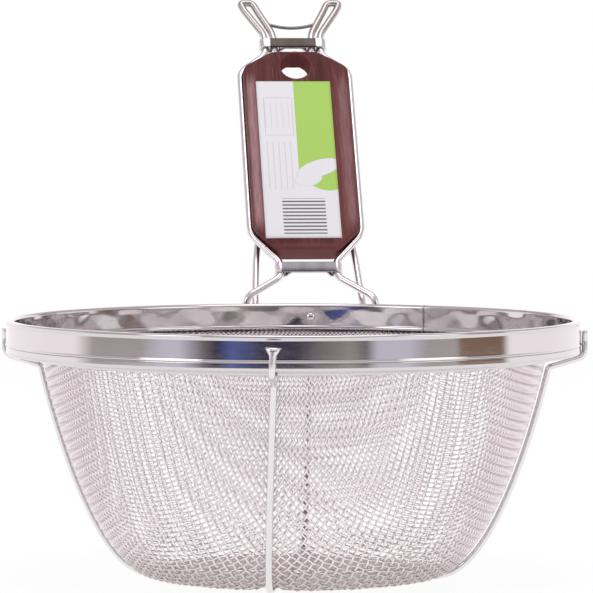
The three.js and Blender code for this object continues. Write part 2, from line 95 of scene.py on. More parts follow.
def add_piece(name, points, blocks, finish, nodes, slot, place=None):
    """Fills a mesh from points in millimetres and blocks of faces, and ties the piece to the frame."""
    if enclosed_volume(points, blocks) < 0:
        blocks = [block[:, ::-1] for block in blocks]
    corners = np.concatenate([block.ravel() for block in blocks])
    sizes = np.concatenate([np.full(len(block), block.shape[1]) for block in blocks])
    mesh = bpy.data.meshes.new(name)
    mesh.vertices.add(len(points))
    mesh.vertices.foreach_set("co", (points * MM).astype(np.float32).ravel())
    mesh.loops.add(len(corners))
    mesh.loops.foreach_set("vertex_index", corners.astype(np.int32))
    mesh.polygons.add(len(sizes))
    mesh.polygons.foreach_set("loop_start", (np.cumsum(sizes) - sizes).astype(np.int32))
    mesh.polygons.foreach_set("use_smooth", np.ones(len(sizes), bool))
    if place is not None:
        field = mesh.attributes.new("place", "FLOAT_VECTOR", "POINT")
        field.data.foreach_set("vector", place.astype(np.float32).ravel())
    mesh.update(calc_edges=True)
    mesh.validate()
    mesh.materials.append(finish)
    piece = bpy.data.objects.new(name, mesh)
    bpy.context.scene.collection.objects.link(piece)
    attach(piece, "root")
    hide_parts(*nodes)
    print(f"{name}: {len(points)} points, {int((sizes - 2).sum())} triangles")


# %% [markdown]
# ## Shader maths as Python
# A finish is a small formula: so much noise, stretched that way, mixed into that colour. Wiring such a
# formula by hand hides it. This class holds one output of a node, so that sums and products of it read as
# Python and add their own Math nodes. Every other node comes from its one method.

# %% The shader value
class Value:
    """One output of a shader node."""

    def __init__(self, tree, socket=None):
        self.tree, self.socket = tree, socket

    def node(self, kind, settings=None, inputs=None, out=0):
        """Adds a node of this kind, sets it up, feeds its sockets and returns one of its outputs."""
        made = self.tree.nodes.new(kind)
        for key, setting in (settings or {}).items():
            if key == "stops":
                ramp = made.color_ramp.elements
                while len(ramp) < len(setting):
                    ramp.new(1.0)
                for element, (at, colour) in zip(ramp, setting):
                    element.position, element.color = at, (*colour, 1)
            else:
                setattr(made, key, setting)
        for key, source in (inputs or {}).items():
            if isinstance(source, Value):
                self.tree.links.new(source.socket, made.inputs[key])
            else:
                made.inputs[key].default_value = source
        return Value(self.tree, made.outputs[out])

    def pick(self, out):
        return Value(self.tree, self.socket.node.outputs[out])

    def axis(self, name):
        """One component of this vector."""
        return self.node("ShaderNodeSeparateXYZ", None, {0: self}, name)

    def on_object(self):
        """The surface's point in the object's own metres."""
        return self.node("ShaderNodeTexCoord", out="Object")

    def on_piece(self):
        """The place that the piece carries as an attribute."""
        return self.node("ShaderNodeAttribute", {"attribute_name": "place"}, None, "Vector")

    def math(self, operation, *others):
        return self.node("ShaderNodeMath", {"operation": operation}, dict(enumerate((self, *others))))

    def __add__(self, other):
        return self.math("ADD", other)

    def __mul__(self, other):
        return self.math("MULTIPLY", other)

    def __sub__(self, other):
        return self.math("SUBTRACT", other)

    def __rsub__(self, other):
        return self.node("ShaderNodeMath", {"operation": "SUBTRACT"}, {0: other, 1: self})

    __radd__, __rmul__ = __add__, __mul__

    def between(self, low, high):
        """0 below low, 1 above high, smooth in between."""
        settings = {"interpolation_type": "SMOOTHSTEP"}
        inputs = {"Value": self, "From Min": low, "From Max": high}
        return self.node("ShaderNodeMapRange", settings, inputs)

    def mix(self, low, high):
        """The colour low where this value is 0, and high where it is 1."""
        low, high = ((*c, 1) if isinstance(c, tuple) else c for c in (low, high))
        return self.node("ShaderNodeMix", {"data_type": "RGBA"}, {0: self, 6: low, 7: high}, 2)

    def scaled(self, factors):
        """This vector times one factor for each axis."""
        return self.node("ShaderNodeVectorMath", {"operation": "MULTIPLY"}, {0: self, 1: factors})

    def noise(self, scale, detail=2.0, roughness=0.5):
        inputs = {"Vector": self, "Scale": scale, "Detail": detail, "Roughness": roughness}
        return self.node("ShaderNodeTexNoise", None, inputs)

    def bump(self, strength, distance):
        inputs = {"Height": self, "Strength": strength, "Distance": distance}
        return self.node("ShaderNodeBump", None, inputs)


def new_finish(name, fixed):
    """A material with one Principled shader whose constant sockets are set, and a Value to build on."""
    material = bpy.data.materials.new(name)
    material.use_nodes = True
    tree = material.node_tree
    shader = tree.nodes["Principled BSDF"]
    for key, setting in fixed.items():
        shader.inputs[key].default_value = setting
    start = Value(tree)

    def feed(**sources):
        for key, source in sources.items():
            tree.links.new(source.socket, shader.inputs[key.replace("_", " ")])

    return material, start, feed


# %% [markdown]
# ## Finishes
# The rim is rolled from mirror sheet. A mirror is only as good as its flaws: the outer wall is nearly true,
# while the inner wall has been pulled by the folding, which breaks what it reflects into patches. Its
# larger dents are in the mesh, further down, and the finish adds the small waves. The distance from the
# axis tells the two walls apart. One upright seam shows where the strip's ends meet.

# %% Polished sheet
INNER_UP_TO, OUTER_FROM, SEAM_ANGLE = 92.1, 92.6, 1.12


def polished_sheet():
    """Mirror steel: faint haze all over, small waves on the wall that faces the axis, one upright seam."""
    finish, start, feed = new_finish("polished_steel", {"Metallic": 1.0})
    at = start.on_object()
    x, y = at.axis("X"), at.axis("Y")
    radius = (x * x + y * y).math("SQRT")
    inside = 1 - radius.between(INNER_UP_TO * MM, OUTER_FROM * MM)
    angle = y.math("ARCTAN2", x)
    seam = 1 - (angle - SEAM_ANGLE).math("ABSOLUTE").between(0.002, 0.006)
    ripples = at.scaled((1.0, 1.0, 1.6)).noise(46.0, 1.0) * inside
    waves = ripples * 0.2 + at.noise(26.0, 1.0) * 0.22
    haze = at.scaled((1.0, 1.0, 6.0)).noise(220.0, 3.0)
    feed(
        Base_Color=(seam * inside * 0.3).mix((0.68, 0.645, 0.655), (0.15, 0.14, 0.14)),
        Roughness=haze * 0.06 + inside * 0.05 + 0.035,
        Normal=(waves - seam * inside * 0.3).bump(0.7, 0.0018),
    )
    return finish


polished_steel = polished_sheet()
print("finish:", polished_steel.name)

# %% [markdown]
# The wires are drawn through a die, which leaves them bright but not mirror smooth. The finish changes them
# by
# height: the ears are painted darker, a painted dark reflection of their curved loops, the floor of the bowl
# is painted darker than its wall as painted shade, and the edge of the mesh is rough where it was cut. So the
# same formula takes two finishes and the height where one becomes the other. The clips are plain strip whose
# flat front is a little brown and painted dark as a painted dark reflection, and whose back and bends are
# painted bright as a painted highlight.

# %% Wire and clip steel
EDGE_FROM, EDGE_TO = 71.0, 73.5
FRONT_FROM, FRONT_TO = 1.5, 1.8


def drawn_wire(name, low_colour, high_colour, low_rough, high_rough, from_height, to_height, cut_edge=0.0):
    """Drawn wire with slow clouding: one colour and roughness below, another above, heights in
    millimetres. A cut edge adds that much roughness inside the rim."""
    finish, start, feed = new_finish(name, {"Metallic": 1.0})
    at = start.on_object()
    upright = at.axis("Z")
    height = upright.between(from_height * MM, to_height * MM)
    cloud = at.noise(140.0, 3.0)
    fine = at.noise(1900.0, 2.0)
    rough = low_rough + height * (high_rough - low_rough) + cloud * 0.1
    if cut_edge:
        rough = rough + upright.between(EDGE_FROM * MM, EDGE_TO * MM) * cut_edge
    feed(
        Base_Color=(cloud * 0.1).mix(height.mix(low_colour, high_colour), (0.3, 0.27, 0.27)),
        Roughness=rough,
        Normal=fine.bump(0.12, 0.0002),
    )
    return finish


# The ears, above 177 to 183 mm, get a darker colour: a painted dark reflection of their curved loops.
wire_steel = drawn_wire("steel_wire", (0.82, 0.785, 0.795), (0.50, 0.46, 0.455), 0.14, 0.20, 177.0, 183.0)
# The weave is darker on the floor of the bowl, below 3 to 14 mm: painted shade.
weave_steel = drawn_wire("woven_mesh", (0.62, 0.565, 0.565), (0.87, 0.805, 0.83), 0.14, 0.11, 3.0, 14.0, 0.4)
hook_steel = drawn_wire("hook_steel", (0.30, 0.285, 0.285), (0.24, 0.225, 0.225), 0.2, 0.25, 170.0, 180.0)


def rib_wire():
    """Drawn wire with painted shade on the side that faces the mesh."""
    finish, start, feed = new_finish("rib_steel_painted_shade", {"Metallic": 1.0})
    painted_shade_side = start.on_piece().axis("X")
    cloud = start.on_object().noise(140.0, 3.0)
    # The side that faces the mesh gets a dark base colour: painted shade.
    feed(
        Base_Color=painted_shade_side.between(0.25, 0.85).mix((0.80, 0.765, 0.775), (0.26, 0.23, 0.23)),
        Roughness=cloud * 0.12 + 0.14,
        Normal=cloud.bump(0.1, 0.0003),
    )
    return finish


rib_steel_painted_shade = rib_wire()


def clip_strip(name, face, bend, half):
    """Strip with a flat front painted dark as a painted reflection, and a painted highlight on its back and
    past the given half width, where it bends round the wires.
    """
    finish, start, feed = new_finish(name, {"Metallic": 1.0})
    place = start.on_piece()
    # The back and the bends past the half width get the bright colour: a painted highlight.
    painted_highlight = place.axis("X").math("ABSOLUTE").between(half - 0.5, half + 0.3)
    painted_highlight = painted_highlight.math("MAXIMUM", 1 - place.axis("Z").between(FRONT_FROM, FRONT_TO))
    cloud = place.scaled((0.16, 0.03, 0.16)).noise(1.0, 1.0)
    # The dark front colour is a painted dark reflection, with random clouding on it.
    stain = cloud.between(0.35, 0.65).mix(tuple(c * 0.72 for c in face), face)
    feed(
        Base_Color=painted_highlight.mix(stain, bend),
        Roughness=cloud * 0.14 + 0.17,
        Normal=(cloud * 0.8 + place.noise(2.4, 2.0) * 0.1).bump(0.15, 0.0006),
    )
    return finish


# Both clips get a dark front as a painted dark reflection, and a bright back and bends as a painted
# highlight.
clip_steel = clip_strip("clip_steel", (0.20, 0.188, 0.204), (0.80, 0.75, 0.76), 9.9)
painted_dark_clip_steel = clip_strip("painted_dark_clip_steel", (0.082, 0.066, 0.061), (0.74, 0.70, 0.71), 8.6)
print("finishes:", wire_steel.name, weave_steel.name, hook_steel.name, rib_steel_painted_shade.name, clip_steel.name)

# %% [markdown]
# The grip is stained wood. Its grain runs along the grip, which leans, so the pattern can't use the
# object's own upright axes: the piece carries its place on the grip as an attribute, in millimetres across,
# along and out of the board. Long thin noise makes the pores, broad noise the bands, and the eased edges
# have lost some stain.

# %% Stained wood
HOLE_ALONG, HOLE_RADIUS = 99.05, 5.5
LEFT_RUB, RIGHT_RUB = (14.2, 16.4, 17.6, 18.8), (13.0, 16.4, 17.2, 18.8)


def stained_board():
    """Dark red-brown stain over long grain, paler where the long edges are rubbed, dry in the hole."""
    finish, start, feed = new_finish("stained_wood", {"Specular IOR Level": 0.14})
    place = start.on_piece()
    across, along = place.axis("X"), place.axis("Y")
    bands = place.scaled((0.16, 0.008, 0.16)).noise(1.0, 3.0, 0.6)
    pores = place.scaled((2.2, 0.09, 2.2)).noise(1.0, 4.0, 0.65)
    streaks = pores.between(0.5, 0.7)

    def rub(aside, begin, full, ease, edge):
        """0 up to begin, 1 from full to ease, and a fifth of that past the edge."""
        return aside.between(begin, full) * (1 - aside.between(ease, edge) * 0.8)

    rubbed = rub(across * -1.0, *LEFT_RUB) + rub(across, *RIGHT_RUB) * 0.5
    rubbed = rubbed * along.between(26.0, 34.0) * (1 - along.between(88.0, 97.0))
    heart = bands.between(0.3, 0.72).mix((0.080, 0.018, 0.018), (0.165, 0.044, 0.044))
    worn = (rubbed * (0.45 + pores.between(0.35, 0.6) * 0.55)).mix(heart, (0.44, 0.255, 0.275))
    above = along - HOLE_ALONG
    from_hole = (across * across + above * above).math("SQRT")
    bore = 1 - from_hole.between(HOLE_RADIUS + 0.2, HOLE_RADIUS + 0.8)
    end = 1 - along.between(20.8, 23.0)
    grained = (streaks * (0.34 + rubbed * 0.3)).mix(worn, (0.36, 0.17, 0.175))
    shown = (end * 0.5).mix(grained, (0.30, 0.10, 0.10))
    feed(
        Base_Color=bore.mix(shown, (0.20, 0.060, 0.060)),
        Roughness=(0.46 + streaks * 0.2).math("MAXIMUM", bore * 0.95),
        Normal=(pores * 0.6 + bands * 0.2).bump(0.35, 0.0004),
    )
    return finish


stained_wood = stained_board()
print("finish:", stained_wood.name)

# %% [markdown]
# The label is a paper sheet with a white column on one side, a green panel with a curved foot and a plain
# white leaf on the other, and a ruled block below. It says nothing: what is printed is only flat colour and
# evenly spaced rules. Its pattern reads the same attribute, here as millimetres from the sheet's own corner.

# %% Printed paper
LABEL_WIDTH, LABEL_LENGTH = 27.0, 67.5
PANEL_LEFT, PANEL_FOOT, FOOT_MIDDLE, FOOT_CURVE = 13.4, 20.0, 24.0, 0.06
LARGE_LEAF, SMALL_LEAF = (20.6, 29.6, 8.4, 3.5, 0.35), (16.6, 25.0, 5.0, 3.0, 0.2)
RULED_BLOCK, EMPTY_BOX, BOX_LINE = (6.6, 22.0, 1.7, 16.7), (2.2, 12.6, 43.8, 60.4), 0.25
LOW_LINES, HIGH_LINES = (1.4, 11.6, 20.5, 41.0), (1.4, 11.6, 47.0, 58.0)
RULE_PITCH, LINE_PITCH = 1.5, 2.1


def printed_paper():
    """White paper, a green panel with a white leaf on its curved foot, an empty box, even rules."""
    finish, start, feed = new_finish("label_paper", {"Specular IOR Level": 0.3})
    place = start.on_piece()
    across, along = place.axis("X"), place.axis("Y")

    def within(value, low, high, soft=0.06):
        return value.between(low - soft, low + soft) * (1 - value.between(high - soft, high + soft))

    def block(left, right, low, high):
        return within(across, left, right) * within(along, low, high)

    def stripes(value, pitch, low, high):
        return (value * (2 * np.pi / pitch)).math("SINE").between(low, high)

    def leaf_reach(x, y, long, wide, tilt):
        """0 in the middle of a tilted ellipse and 1 on its edge."""
        right, up = across - x, along - y
        lengthwise = (right * np.cos(tilt) + up * np.sin(tilt)) * (1 / long)
        sideways = (up * np.cos(tilt) - right * np.sin(tilt)) * (1 / wide)
        return (lengthwise * lengthwise + sideways * sideways).math("SQRT")

    foot = PANEL_FOOT + (across - FOOT_MIDDLE) * (across - FOOT_MIDDLE) * FOOT_CURVE
    panel = across.between(PANEL_LEFT - 0.06, PANEL_LEFT + 0.06) * (along - foot).between(-0.1, 0.1)
    reach = leaf_reach(*LARGE_LEAF).math("MINIMUM", leaf_reach(*SMALL_LEAF))
    leaf = 1 - reach.between(0.98, 1.02)
    edge = within(reach, 0.97, 1.03, 0.02) * panel.math("MAXIMUM", leaf)
    rules = stripes(along, RULE_PITCH, 0.1, 0.3) * block(*RULED_BLOCK)
    left, right, low, high = EMPTY_BOX
    hollow = block(left + BOX_LINE, right - BOX_LINE, low + BOX_LINE, high - BOX_LINE)
    frame_line = block(*EMPTY_BOX) - hollow
    lines = stripes(across, LINE_PITCH, 0.7, 0.9) * (block(*LOW_LINES) + block(*HIGH_LINES) * 0.7)
    fibre = place.noise(1.3, 4.0)
    paper = fibre.mix((0.84, 0.82, 0.88), (0.91, 0.89, 0.94))
    green = fibre.mix((0.42, 0.67, 0.125), (0.47, 0.73, 0.155))
    printed = (panel * (1 - leaf)).mix(paper, green)
    printed = (rules * 0.85).mix(printed, (0.045, 0.045, 0.06))
    printed = (edge * 0.3).mix(printed, (0.10, 0.14, 0.06))
    feed(
        Base_Color=(frame_line * 0.35 + lines * 0.22).mix(printed, (0.25, 0.24, 0.33)),
        Roughness=0.42 + fibre * 0.12,
        Normal=fibre.bump(0.1, 0.0002),
    )
    return finish


label_paper = printed_paper()
print("finish:", label_paper.name)

# %% [markdown]
# ## Lines and sections
# Sheet metal is a line with a thickness: offset the line to both sides, close the ends round, and carry the
# result round the axis. Wire is a route with rounded corners and a section carried along it. These few
# helpers work on whole arrays of points, so the same ones serve the rim, the ring, the ribs and the handle.

# %% Rounded routes and offset lines
def rounded(corners, bend, steps=8, most=0.45):
    """A polyline whose corners become parabolas that start and end one bend away from the corner, or at
    most the given share of a shorter stretch."""
    corners = np.asarray(corners, float)
    t = np.linspace(0, 1, steps + 1)[:, None]
    stretches = [corners[:1]]
    for before, corner, after in zip(corners[:-2], corners[1:-1], corners[2:]):
        into, out = before - corner, after - corner
        length_in, length_out = np.linalg.norm(into), np.linalg.norm(out)
        reach = min(bend, most * length_in, most * length_out)
        start, stop = corner + into / length_in * reach, corner + out / length_out * reach
        stretches.append((1 - t) ** 2 * start + 2 * t * (1 - t) * corner + t**2 * stop)
    stretches.append(corners[-1:])
    return np.concatenate(stretches)


def refined(line, spacing):
    """The same polyline with points at most one spacing apart, its own points kept."""
    lengths = np.linalg.norm(np.diff(line, axis=0), axis=1)
    steps = np.maximum(np.ceil(lengths / spacing).astype(int), 1)
    segment = np.repeat(np.arange(len(steps)), steps)
    share = (np.arange(steps.sum()) - np.repeat(np.cumsum(steps) - steps, steps)) / steps[segment]
    points = line[segment] + (line[segment + 1] - line[segment]) * share[:, None]
    return np.concatenate([points, line[-1:]])


def directions(line):
    """Unit tangent at each point, the mean of the directions before and after it."""
    step = np.diff(line, axis=0)
    step = step / np.linalg.norm(step, axis=1, keepdims=True)
    both = np.concatenate([step[:1], step[:-1] + step[1:], step[-1:]])
    return both / np.linalg.norm(both, axis=1, keepdims=True)


def offset_line(line, distance):
    """A flat line moved sideways to its right by a distance along its normals, mitred at corners."""
    step = np.diff(line, axis=0)
    step = step / np.linalg.norm(step, axis=1, keepdims=True)
    before, after = np.concatenate([step[:1], step]), np.concatenate([step, step[-1:]])
    normal = np.stack([after[:, 1], -after[:, 0]], -1)
    mitre = np.stack([(before + after)[:, 1], -(before + after)[:, 0]], -1)
    mitre = mitre / np.linalg.norm(mitre, axis=1, keepdims=True)
    return line + mitre * (distance / np.einsum("ij,ij->i", mitre, normal))[:, None]


def sheet_section(line, thickness, cap=5):
    """The closed outline of a sheet with the given middle line and round edges."""
    right, left = offset_line(line, thickness / 2), offset_line(line, -thickness / 2)
    turn = np.linspace(0, np.pi, cap + 2)[1:-1, None]

    def end(at, from_side, along):
        return at + (from_side - at) * np.cos(turn) + along * (thickness / 2) * np.sin(turn)

    way = directions(line)
    last, first = end(line[-1], right[-1], way[-1]), end(line[0], left[0], -way[0])
    return np.concatenate([right, last, left[::-1], first])


def turned(section, steps):
    """A closed section (r, z) carried round the axis: x = r cos a, y = r sin a."""
    a = np.linspace(0, 2 * np.pi, steps, endpoint=False)
    r, z = section.T
    points = np.stack([np.outer(np.cos(a), r), np.outer(np.sin(a), r), np.tile(z, (steps, 1))], -1)
    return points.reshape(-1, 3), [grid_faces(steps, len(section), True, True)]


def quarter_turns(points, quarters):
    """The points turned round the axis by a number of right angles."""
    turn = quarters * np.pi / 2
    spin = np.array([[np.cos(turn), np.sin(turn), 0], [-np.sin(turn), np.cos(turn), 0], [0, 0, 1]])
    return points @ spin


def moving_frames(line):
    """Two unit vectors across the line at each point, each the last one carried on without twist."""
    way = directions(line)
    first = np.cross(way[0], np.eye(3)[np.argmin(np.abs(way[0]))])
    across = [first / np.linalg.norm(first)]
    for tangent in way[1:]:
        carried = across[-1] - tangent * across[-1].dot(tangent)
        across.append(carried / np.linalg.norm(carried))
    across = np.array(across)
    return across, np.cross(way, across)


def wire_surface(line, across, up, half_across, half_up, sides):
    """Ellipses round a line: P + half_across cos a * across + half_up sin a * up, with flat ends."""
    a = np.linspace(0, 2 * np.pi, sides, endpoint=False)
    half_across = np.broadcast_to(half_across, len(line))[:, None, None]
    half_up = np.broadcast_to(half_up, len(line))[:, None, None]
    sideways = half_across * np.cos(a)[:, None] * across[:, None]
    points = (line[:, None] + (sideways + half_up * np.sin(a)[:, None] * up[:, None])).reshape(-1, 3)
    last = (len(line) - 1) * sides
    caps = np.stack([np.arange(sides), last + np.arange(sides)[::-1]])
    return points, [grid_faces(len(line), sides, False, True), caps[:, ::-1]]


# %% [markdown]
# ## The rim
# One strip of sheet makes the rim: it rises as the outer wall, swells to a bead, turns over a hidden wire,
# and comes down inside as the liner, with the edge of the mesh between the two walls. Both feet are set off
# by a hair, which gives the bright line that edges each wall. The liner is dented in flat facets, as sheet
# is when it is folded in. Below the band a pressed ring slopes in to the throat of the bowl.

# %% Rim band and clamp ring
RIM_RADIUS, RIM_HEIGHT = 95.0, 85.5
SHEET, FIT, MESH_THICKNESS = 0.6, 0.3, 1.1
LIP_OUT, THROAT_IN, BAND_DEPTH, RING_START, RING_DEPTH = 0.8, 12.2, 8.4, 8.7, 12.7
BAND_RADIUS = RIM_RADIUS - LIP_OUT
LINER_RADIUS = BAND_RADIUS - 2 * SHEET - MESH_THICKNESS - 2 * FIT
LIP_BEAD, LIP_SWELL, LIP_ROLL, CORE_RADIUS = 0.65, 0.4, 1.1, 0.7
THROAT_RADIUS = RIM_RADIUS - THROAT_IN
BAND_FOOT, RING_TOP, RING_FOOT = RIM_HEIGHT - BAND_DEPTH, RIM_HEIGHT - RING_START, RIM_HEIGHT - RING_DEPTH
BEAD, BEAD_TOP, LINER_BEAD, LINER_BEAD_LOW, LINER_BEAD_TOP = 0.22, 0.8, 0.3, 0.9, 1.3
CORE_IN, CORE_DOWN, RING_DROP, DENT_FADE = 0.85, 0.75, 2.1, 1.5
FOLD_BEND, RING_BEND, BAND_SPACING, RING_SPACING = 0.3, 0.4, 0.3, 0.35
ROUND_STEPS, BAND_STEPS = 256, 400
DENTS = ((0.13, 17, 0.30, 0.0), (0.10, 29, -0.42, 1.3), (0.05, 47, 0.50, 2.6))

ring_corners = np.array([
    [BAND_RADIUS - SHEET / 2, RING_TOP],
    [BAND_RADIUS - SHEET / 2, RING_TOP - RING_DROP],
    [THROAT_RADIUS + FIT + SHEET, RING_FOOT + SHEET],
    [THROAT_RADIUS + FIT + SHEET / 2, RING_FOOT],
])
slope = (ring_corners[2] - ring_corners[1]) / np.linalg.norm(ring_corners[2] - ring_corners[1])
slope_start = ring_corners[1] + np.array([slope[1], -slope[0]]) * (SHEET / 2 + FIT + MESH_THICKNESS / 2)


def slope_height(radius):
    """Height of the mesh's middle line where it lies on the ring's slope."""
    return slope_start[1] + (radius - slope_start[0]) * slope[1] / slope[0]


def arc(radius, height, bend, start, stop):
    """Middle line of a sheet's rounded corner, from one angle in degrees to another."""
    a = np.radians(np.linspace(start, stop, 14))
    return np.array([radius, height]) + (bend - SHEET / 2) * np.stack([np.cos(a), np.sin(a)], -1)


def rim_line():
    """Middle line of the strip: outer wall, a small bead, the flat top of the lip, inner wall."""
    bead = arc(BAND_RADIUS + LIP_SWELL - LIP_BEAD, RIM_HEIGHT - LIP_BEAD, LIP_BEAD, -60, 90)
    roll = arc(LINER_RADIUS + LIP_ROLL, RIM_HEIGHT - LIP_ROLL, LIP_ROLL, 90, 180)
    wall = BAND_RADIUS - SHEET / 2
    foot = np.array([
        [wall + BEAD, BAND_FOOT + SHEET / 2], [wall, BAND_FOOT + BEAD_TOP], [wall, bead[0, 1] - LIP_SWELL],
    ])
    liner_edge = LINER_RADIUS + SHEET
    liner_foot = slope_height(liner_edge) - (MESH_THICKNESS / 2 + FIT) / slope[0]
    liner = np.array([
        [LINER_RADIUS + SHEET / 2, liner_foot + LINER_BEAD_TOP],
        [LINER_RADIUS + SHEET / 2 - LINER_BEAD, liner_foot + LINER_BEAD_LOW],
        [LINER_RADIUS + SHEET / 2 - LINER_BEAD, liner_foot + SHEET / 2],
    ])
    liner = rounded(np.concatenate([roll[-1:], liner]), FOLD_BEND, 4)[1:]
    foot = rounded(np.concatenate([foot, bead[:1]]), FOLD_BEND, 4)[:-1]
    return np.concatenate([foot, bead, roll, liner])


def dented(points):
    """Folds the inner wall in flat facets: slanted triangle waves, (2 h / pi) arcsin sin(n a + k z + p)."""
    x, y, z = points.T
    a, radius = np.arctan2(y, x), np.hypot(x, y)
    fade = np.clip((RIM_HEIGHT - LIP_ROLL - z) / DENT_FADE, 0, 1) * (radius < LINER_RADIUS + SHEET + FIT)
    push = fade * sum(2 * h / np.pi * np.arcsin(np.sin(n * a + k * z + p)) for h, n, k, p in DENTS)
    return points + np.stack([push * np.cos(a), push * np.sin(a), 0 * z], -1)


band_points, band_blocks = turned(sheet_section(refined(rim_line(), BAND_SPACING), SHEET), BAND_STEPS)
add_piece(
    "rim_band_sheet", dented(band_points), band_blocks, polished_steel, ["rim_band"], "polished_steel"
)
ring_line = refined(rounded(ring_corners, RING_BEND, 5), RING_SPACING)
add_piece(
    "clamp_ring_sheet", *turned(sheet_section(ring_line, SHEET), ROUND_STEPS),
    polished_steel, ["clamp_ring"], "polished_steel",
)
a = np.linspace(0, 2 * np.pi, 16, endpoint=False)[:, None]
core_middle = np.array([LINER_RADIUS + SHEET + CORE_IN, RIM_HEIGHT - SHEET - CORE_DOWN])
core_section = core_middle + CORE_RADIUS * np.hstack([np.cos(a), np.sin(a)])
add_piece("core_wire_ring", *turned(core_section, ROUND_STEPS), wire_steel, ["rim_core_wire"], "steel_wire")

# %% [markdown]
# ## The woven bowl
# This is the heart of the object. A square weave is cut as a disc and pressed into a bowl, with its wires
# running at 45 degrees to the handle. It could be faked with a see-through pattern, but then the wires
# would not cross over and under, and the far wall would not show through the near one. So every wire is
# made.
#
# Where does a wire go? Near the four places where wires climb straight up the wall, the weave stays a grid.
# Half way between them it shears into tall diamonds, because the wires can't get shorter while the rim
# gathers them in. Both are in one formula. With s the distance from the bowl's middle along the sheet and f
# the angle from one such place, a wire that lay at the distance d from the middle of the flat disc runs
# where A(s) sin f + B(s) sin^2 f = d. On the floor A grows with s, which is a straight line. On the wall B
# grows instead. The other set of wires has cosines for sines, and the crossings are where both hold.

# %% The bowl's line and the crossings of the weave
RIB_RADIUS = 1.1
RIB_FLAT = RIB_RADIUS * np.cos(np.pi / 8)
MESH_FLOOR = 2 * RIB_FLAT + FIT + MESH_THICKNESS / 2
FLOOR_RADIUS, CORNER_REACH, WALL_LEAN, WALL_STRETCH = 47.0, 15.4, np.radians(12.6), 28.0
PITCH, GATHER, TURN_LENGTH = 3.05, 2.04, 16.0
RIB_STRAY, SAG, SAG_REACH, SAG_FADE = 4.3, 1.2, 4.0, 14.0
SLOT_DEPTH, COLLAR_BEND, THROAT_EASE, BOWL_SPACING = 2.4, 0.9, (0.3, 1.5), 0.4
NEWTON_STEPS, TURN_LIMIT, LENGTH_LIMIT = 40, 0.2, 9.0


def wall_line(steps):
    """Middle line of the bowl's wall: a cubic curve from the floor's edge to the throat."""
    throat = np.array([THROAT_RADIUS - MESH_THICKNESS / 2, RING_FOOT - FIT])
    low = np.array([FLOOR_RADIUS, MESH_FLOOR])
    low_pull = low + [CORNER_REACH, 0]
    high_pull = throat - WALL_STRETCH * np.array([np.sin(WALL_LEAN), np.cos(WALL_LEAN)])
    t = np.linspace(0, 1, steps + 1)[:, None]
    pulled = 3 * t * (1 - t) ** 2 * low_pull + 3 * t**2 * (1 - t) * high_pull
    return (1 - t) ** 3 * low + pulled + t**3 * throat


def mesh_line():
    """Floor, wall, slope over the ring, and the edge that stands in the rim's slot."""
    slot = BAND_RADIUS - SHEET - FIT - MESH_THICKNESS / 2
    collar = np.array([
        [THROAT_RADIUS + FIT, slope_height(THROAT_RADIUS + FIT)],
        [slot, slope_height(slot)],
        [slot, slope_height(slot) + SLOT_DEPTH],
    ])
    wall = wall_line(40)
    below_throat = wall[-1:] - THROAT_EASE
    over_ring = rounded(np.concatenate([below_throat, collar]), COLLAR_BEND, 5)[1:]
    return refined(np.concatenate([[[0, MESH_FLOOR]], wall[:-1], over_ring]), BOWL_SPACING)


bowl = mesh_line()
climb = np.hypot(np.diff(bowl[:, 0]), np.diff(bowl[:, 1]) * GATHER)
sheet_length = np.concatenate([[0], np.cumsum(climb)])
floor_share = 1 - np.clip((sheet_length - FLOOR_RADIUS) / TURN_LENGTH, 0, 1)
flat_part = np.concatenate([[0], np.cumsum(climb * (floor_share[:-1] + floor_share[1:]) / 2)])
wire_count = int(sheet_length[-1] / PITCH)
print(f"sheet from middle to edge: {sheet_length[-1]:.1f} mm, {2 * wire_count + 1} wires each way")


def crossings(count):
    """Angle f and distance s of each crossing (i, j) of one quarter, by Newton's method on both rules."""
    d = np.arange(count + 1) * PITCH
    across, along = np.meshgrid(d, d, indexing="ij")
    f = np.arctan2(across, along)
    s = np.hypot(across, along)
    for _ in range(NEWTON_STEPS):
        a, flat = np.interp(s, sheet_length, floor_share), np.interp(s, sheet_length, flat_part)
        steep = s - flat
        sine, cosine = np.sin(f), np.cos(f)
        miss_1 = flat * sine + steep * sine**2 - across
        miss_2 = flat * cosine + steep * cosine**2 - along
        sheared = 2 * steep * sine * cosine
        turn_1, turn_2 = flat * cosine + sheared, -flat * sine - sheared
        grow_1, grow_2 = a * sine + (1 - a) * sine**2, a * cosine + (1 - a) * cosine**2
        whole = turn_1 * grow_2 - grow_1 * turn_2 + 1e-9
        turn_step = (miss_1 * grow_2 - miss_2 * grow_1) / whole
        length_step = (turn_1 * miss_2 - turn_2 * miss_1) / whole
        f = np.clip(f - np.clip(turn_step, -TURN_LIMIT, TURN_LIMIT), 0, np.pi / 2)
        s = np.maximum(s - np.clip(length_step, -LENGTH_LIMIT, LENGTH_LIMIT), 0)
    return f, s


quarter_angle, quarter_length = crossings(wire_count)
print(f"crossings inside one quarter: {int((quarter_length <= sheet_length[-1]).sum())}")

# %% [markdown]
# The quarter is mirrored to the whole bowl by the signs of the two counts, and turned by 45 degrees. Then
# each wire is a row of crossings. It lies on one side of the sheet at one crossing and on the other side at
# the next, so its line moves along the surface's normal by plus and minus half a wire in turn, and passes
# through the sheet half way between. Six-sided tubes are enough at this size, and two stations for each
# crossing keep them light.

# %% The wires of the weave
STRAND_HALF, STRAND_DEPTH, CRIMP = 0.17, 0.22, 0.25
WEAVE_SIDES, FEWEST_CROSSINGS = 6, 3


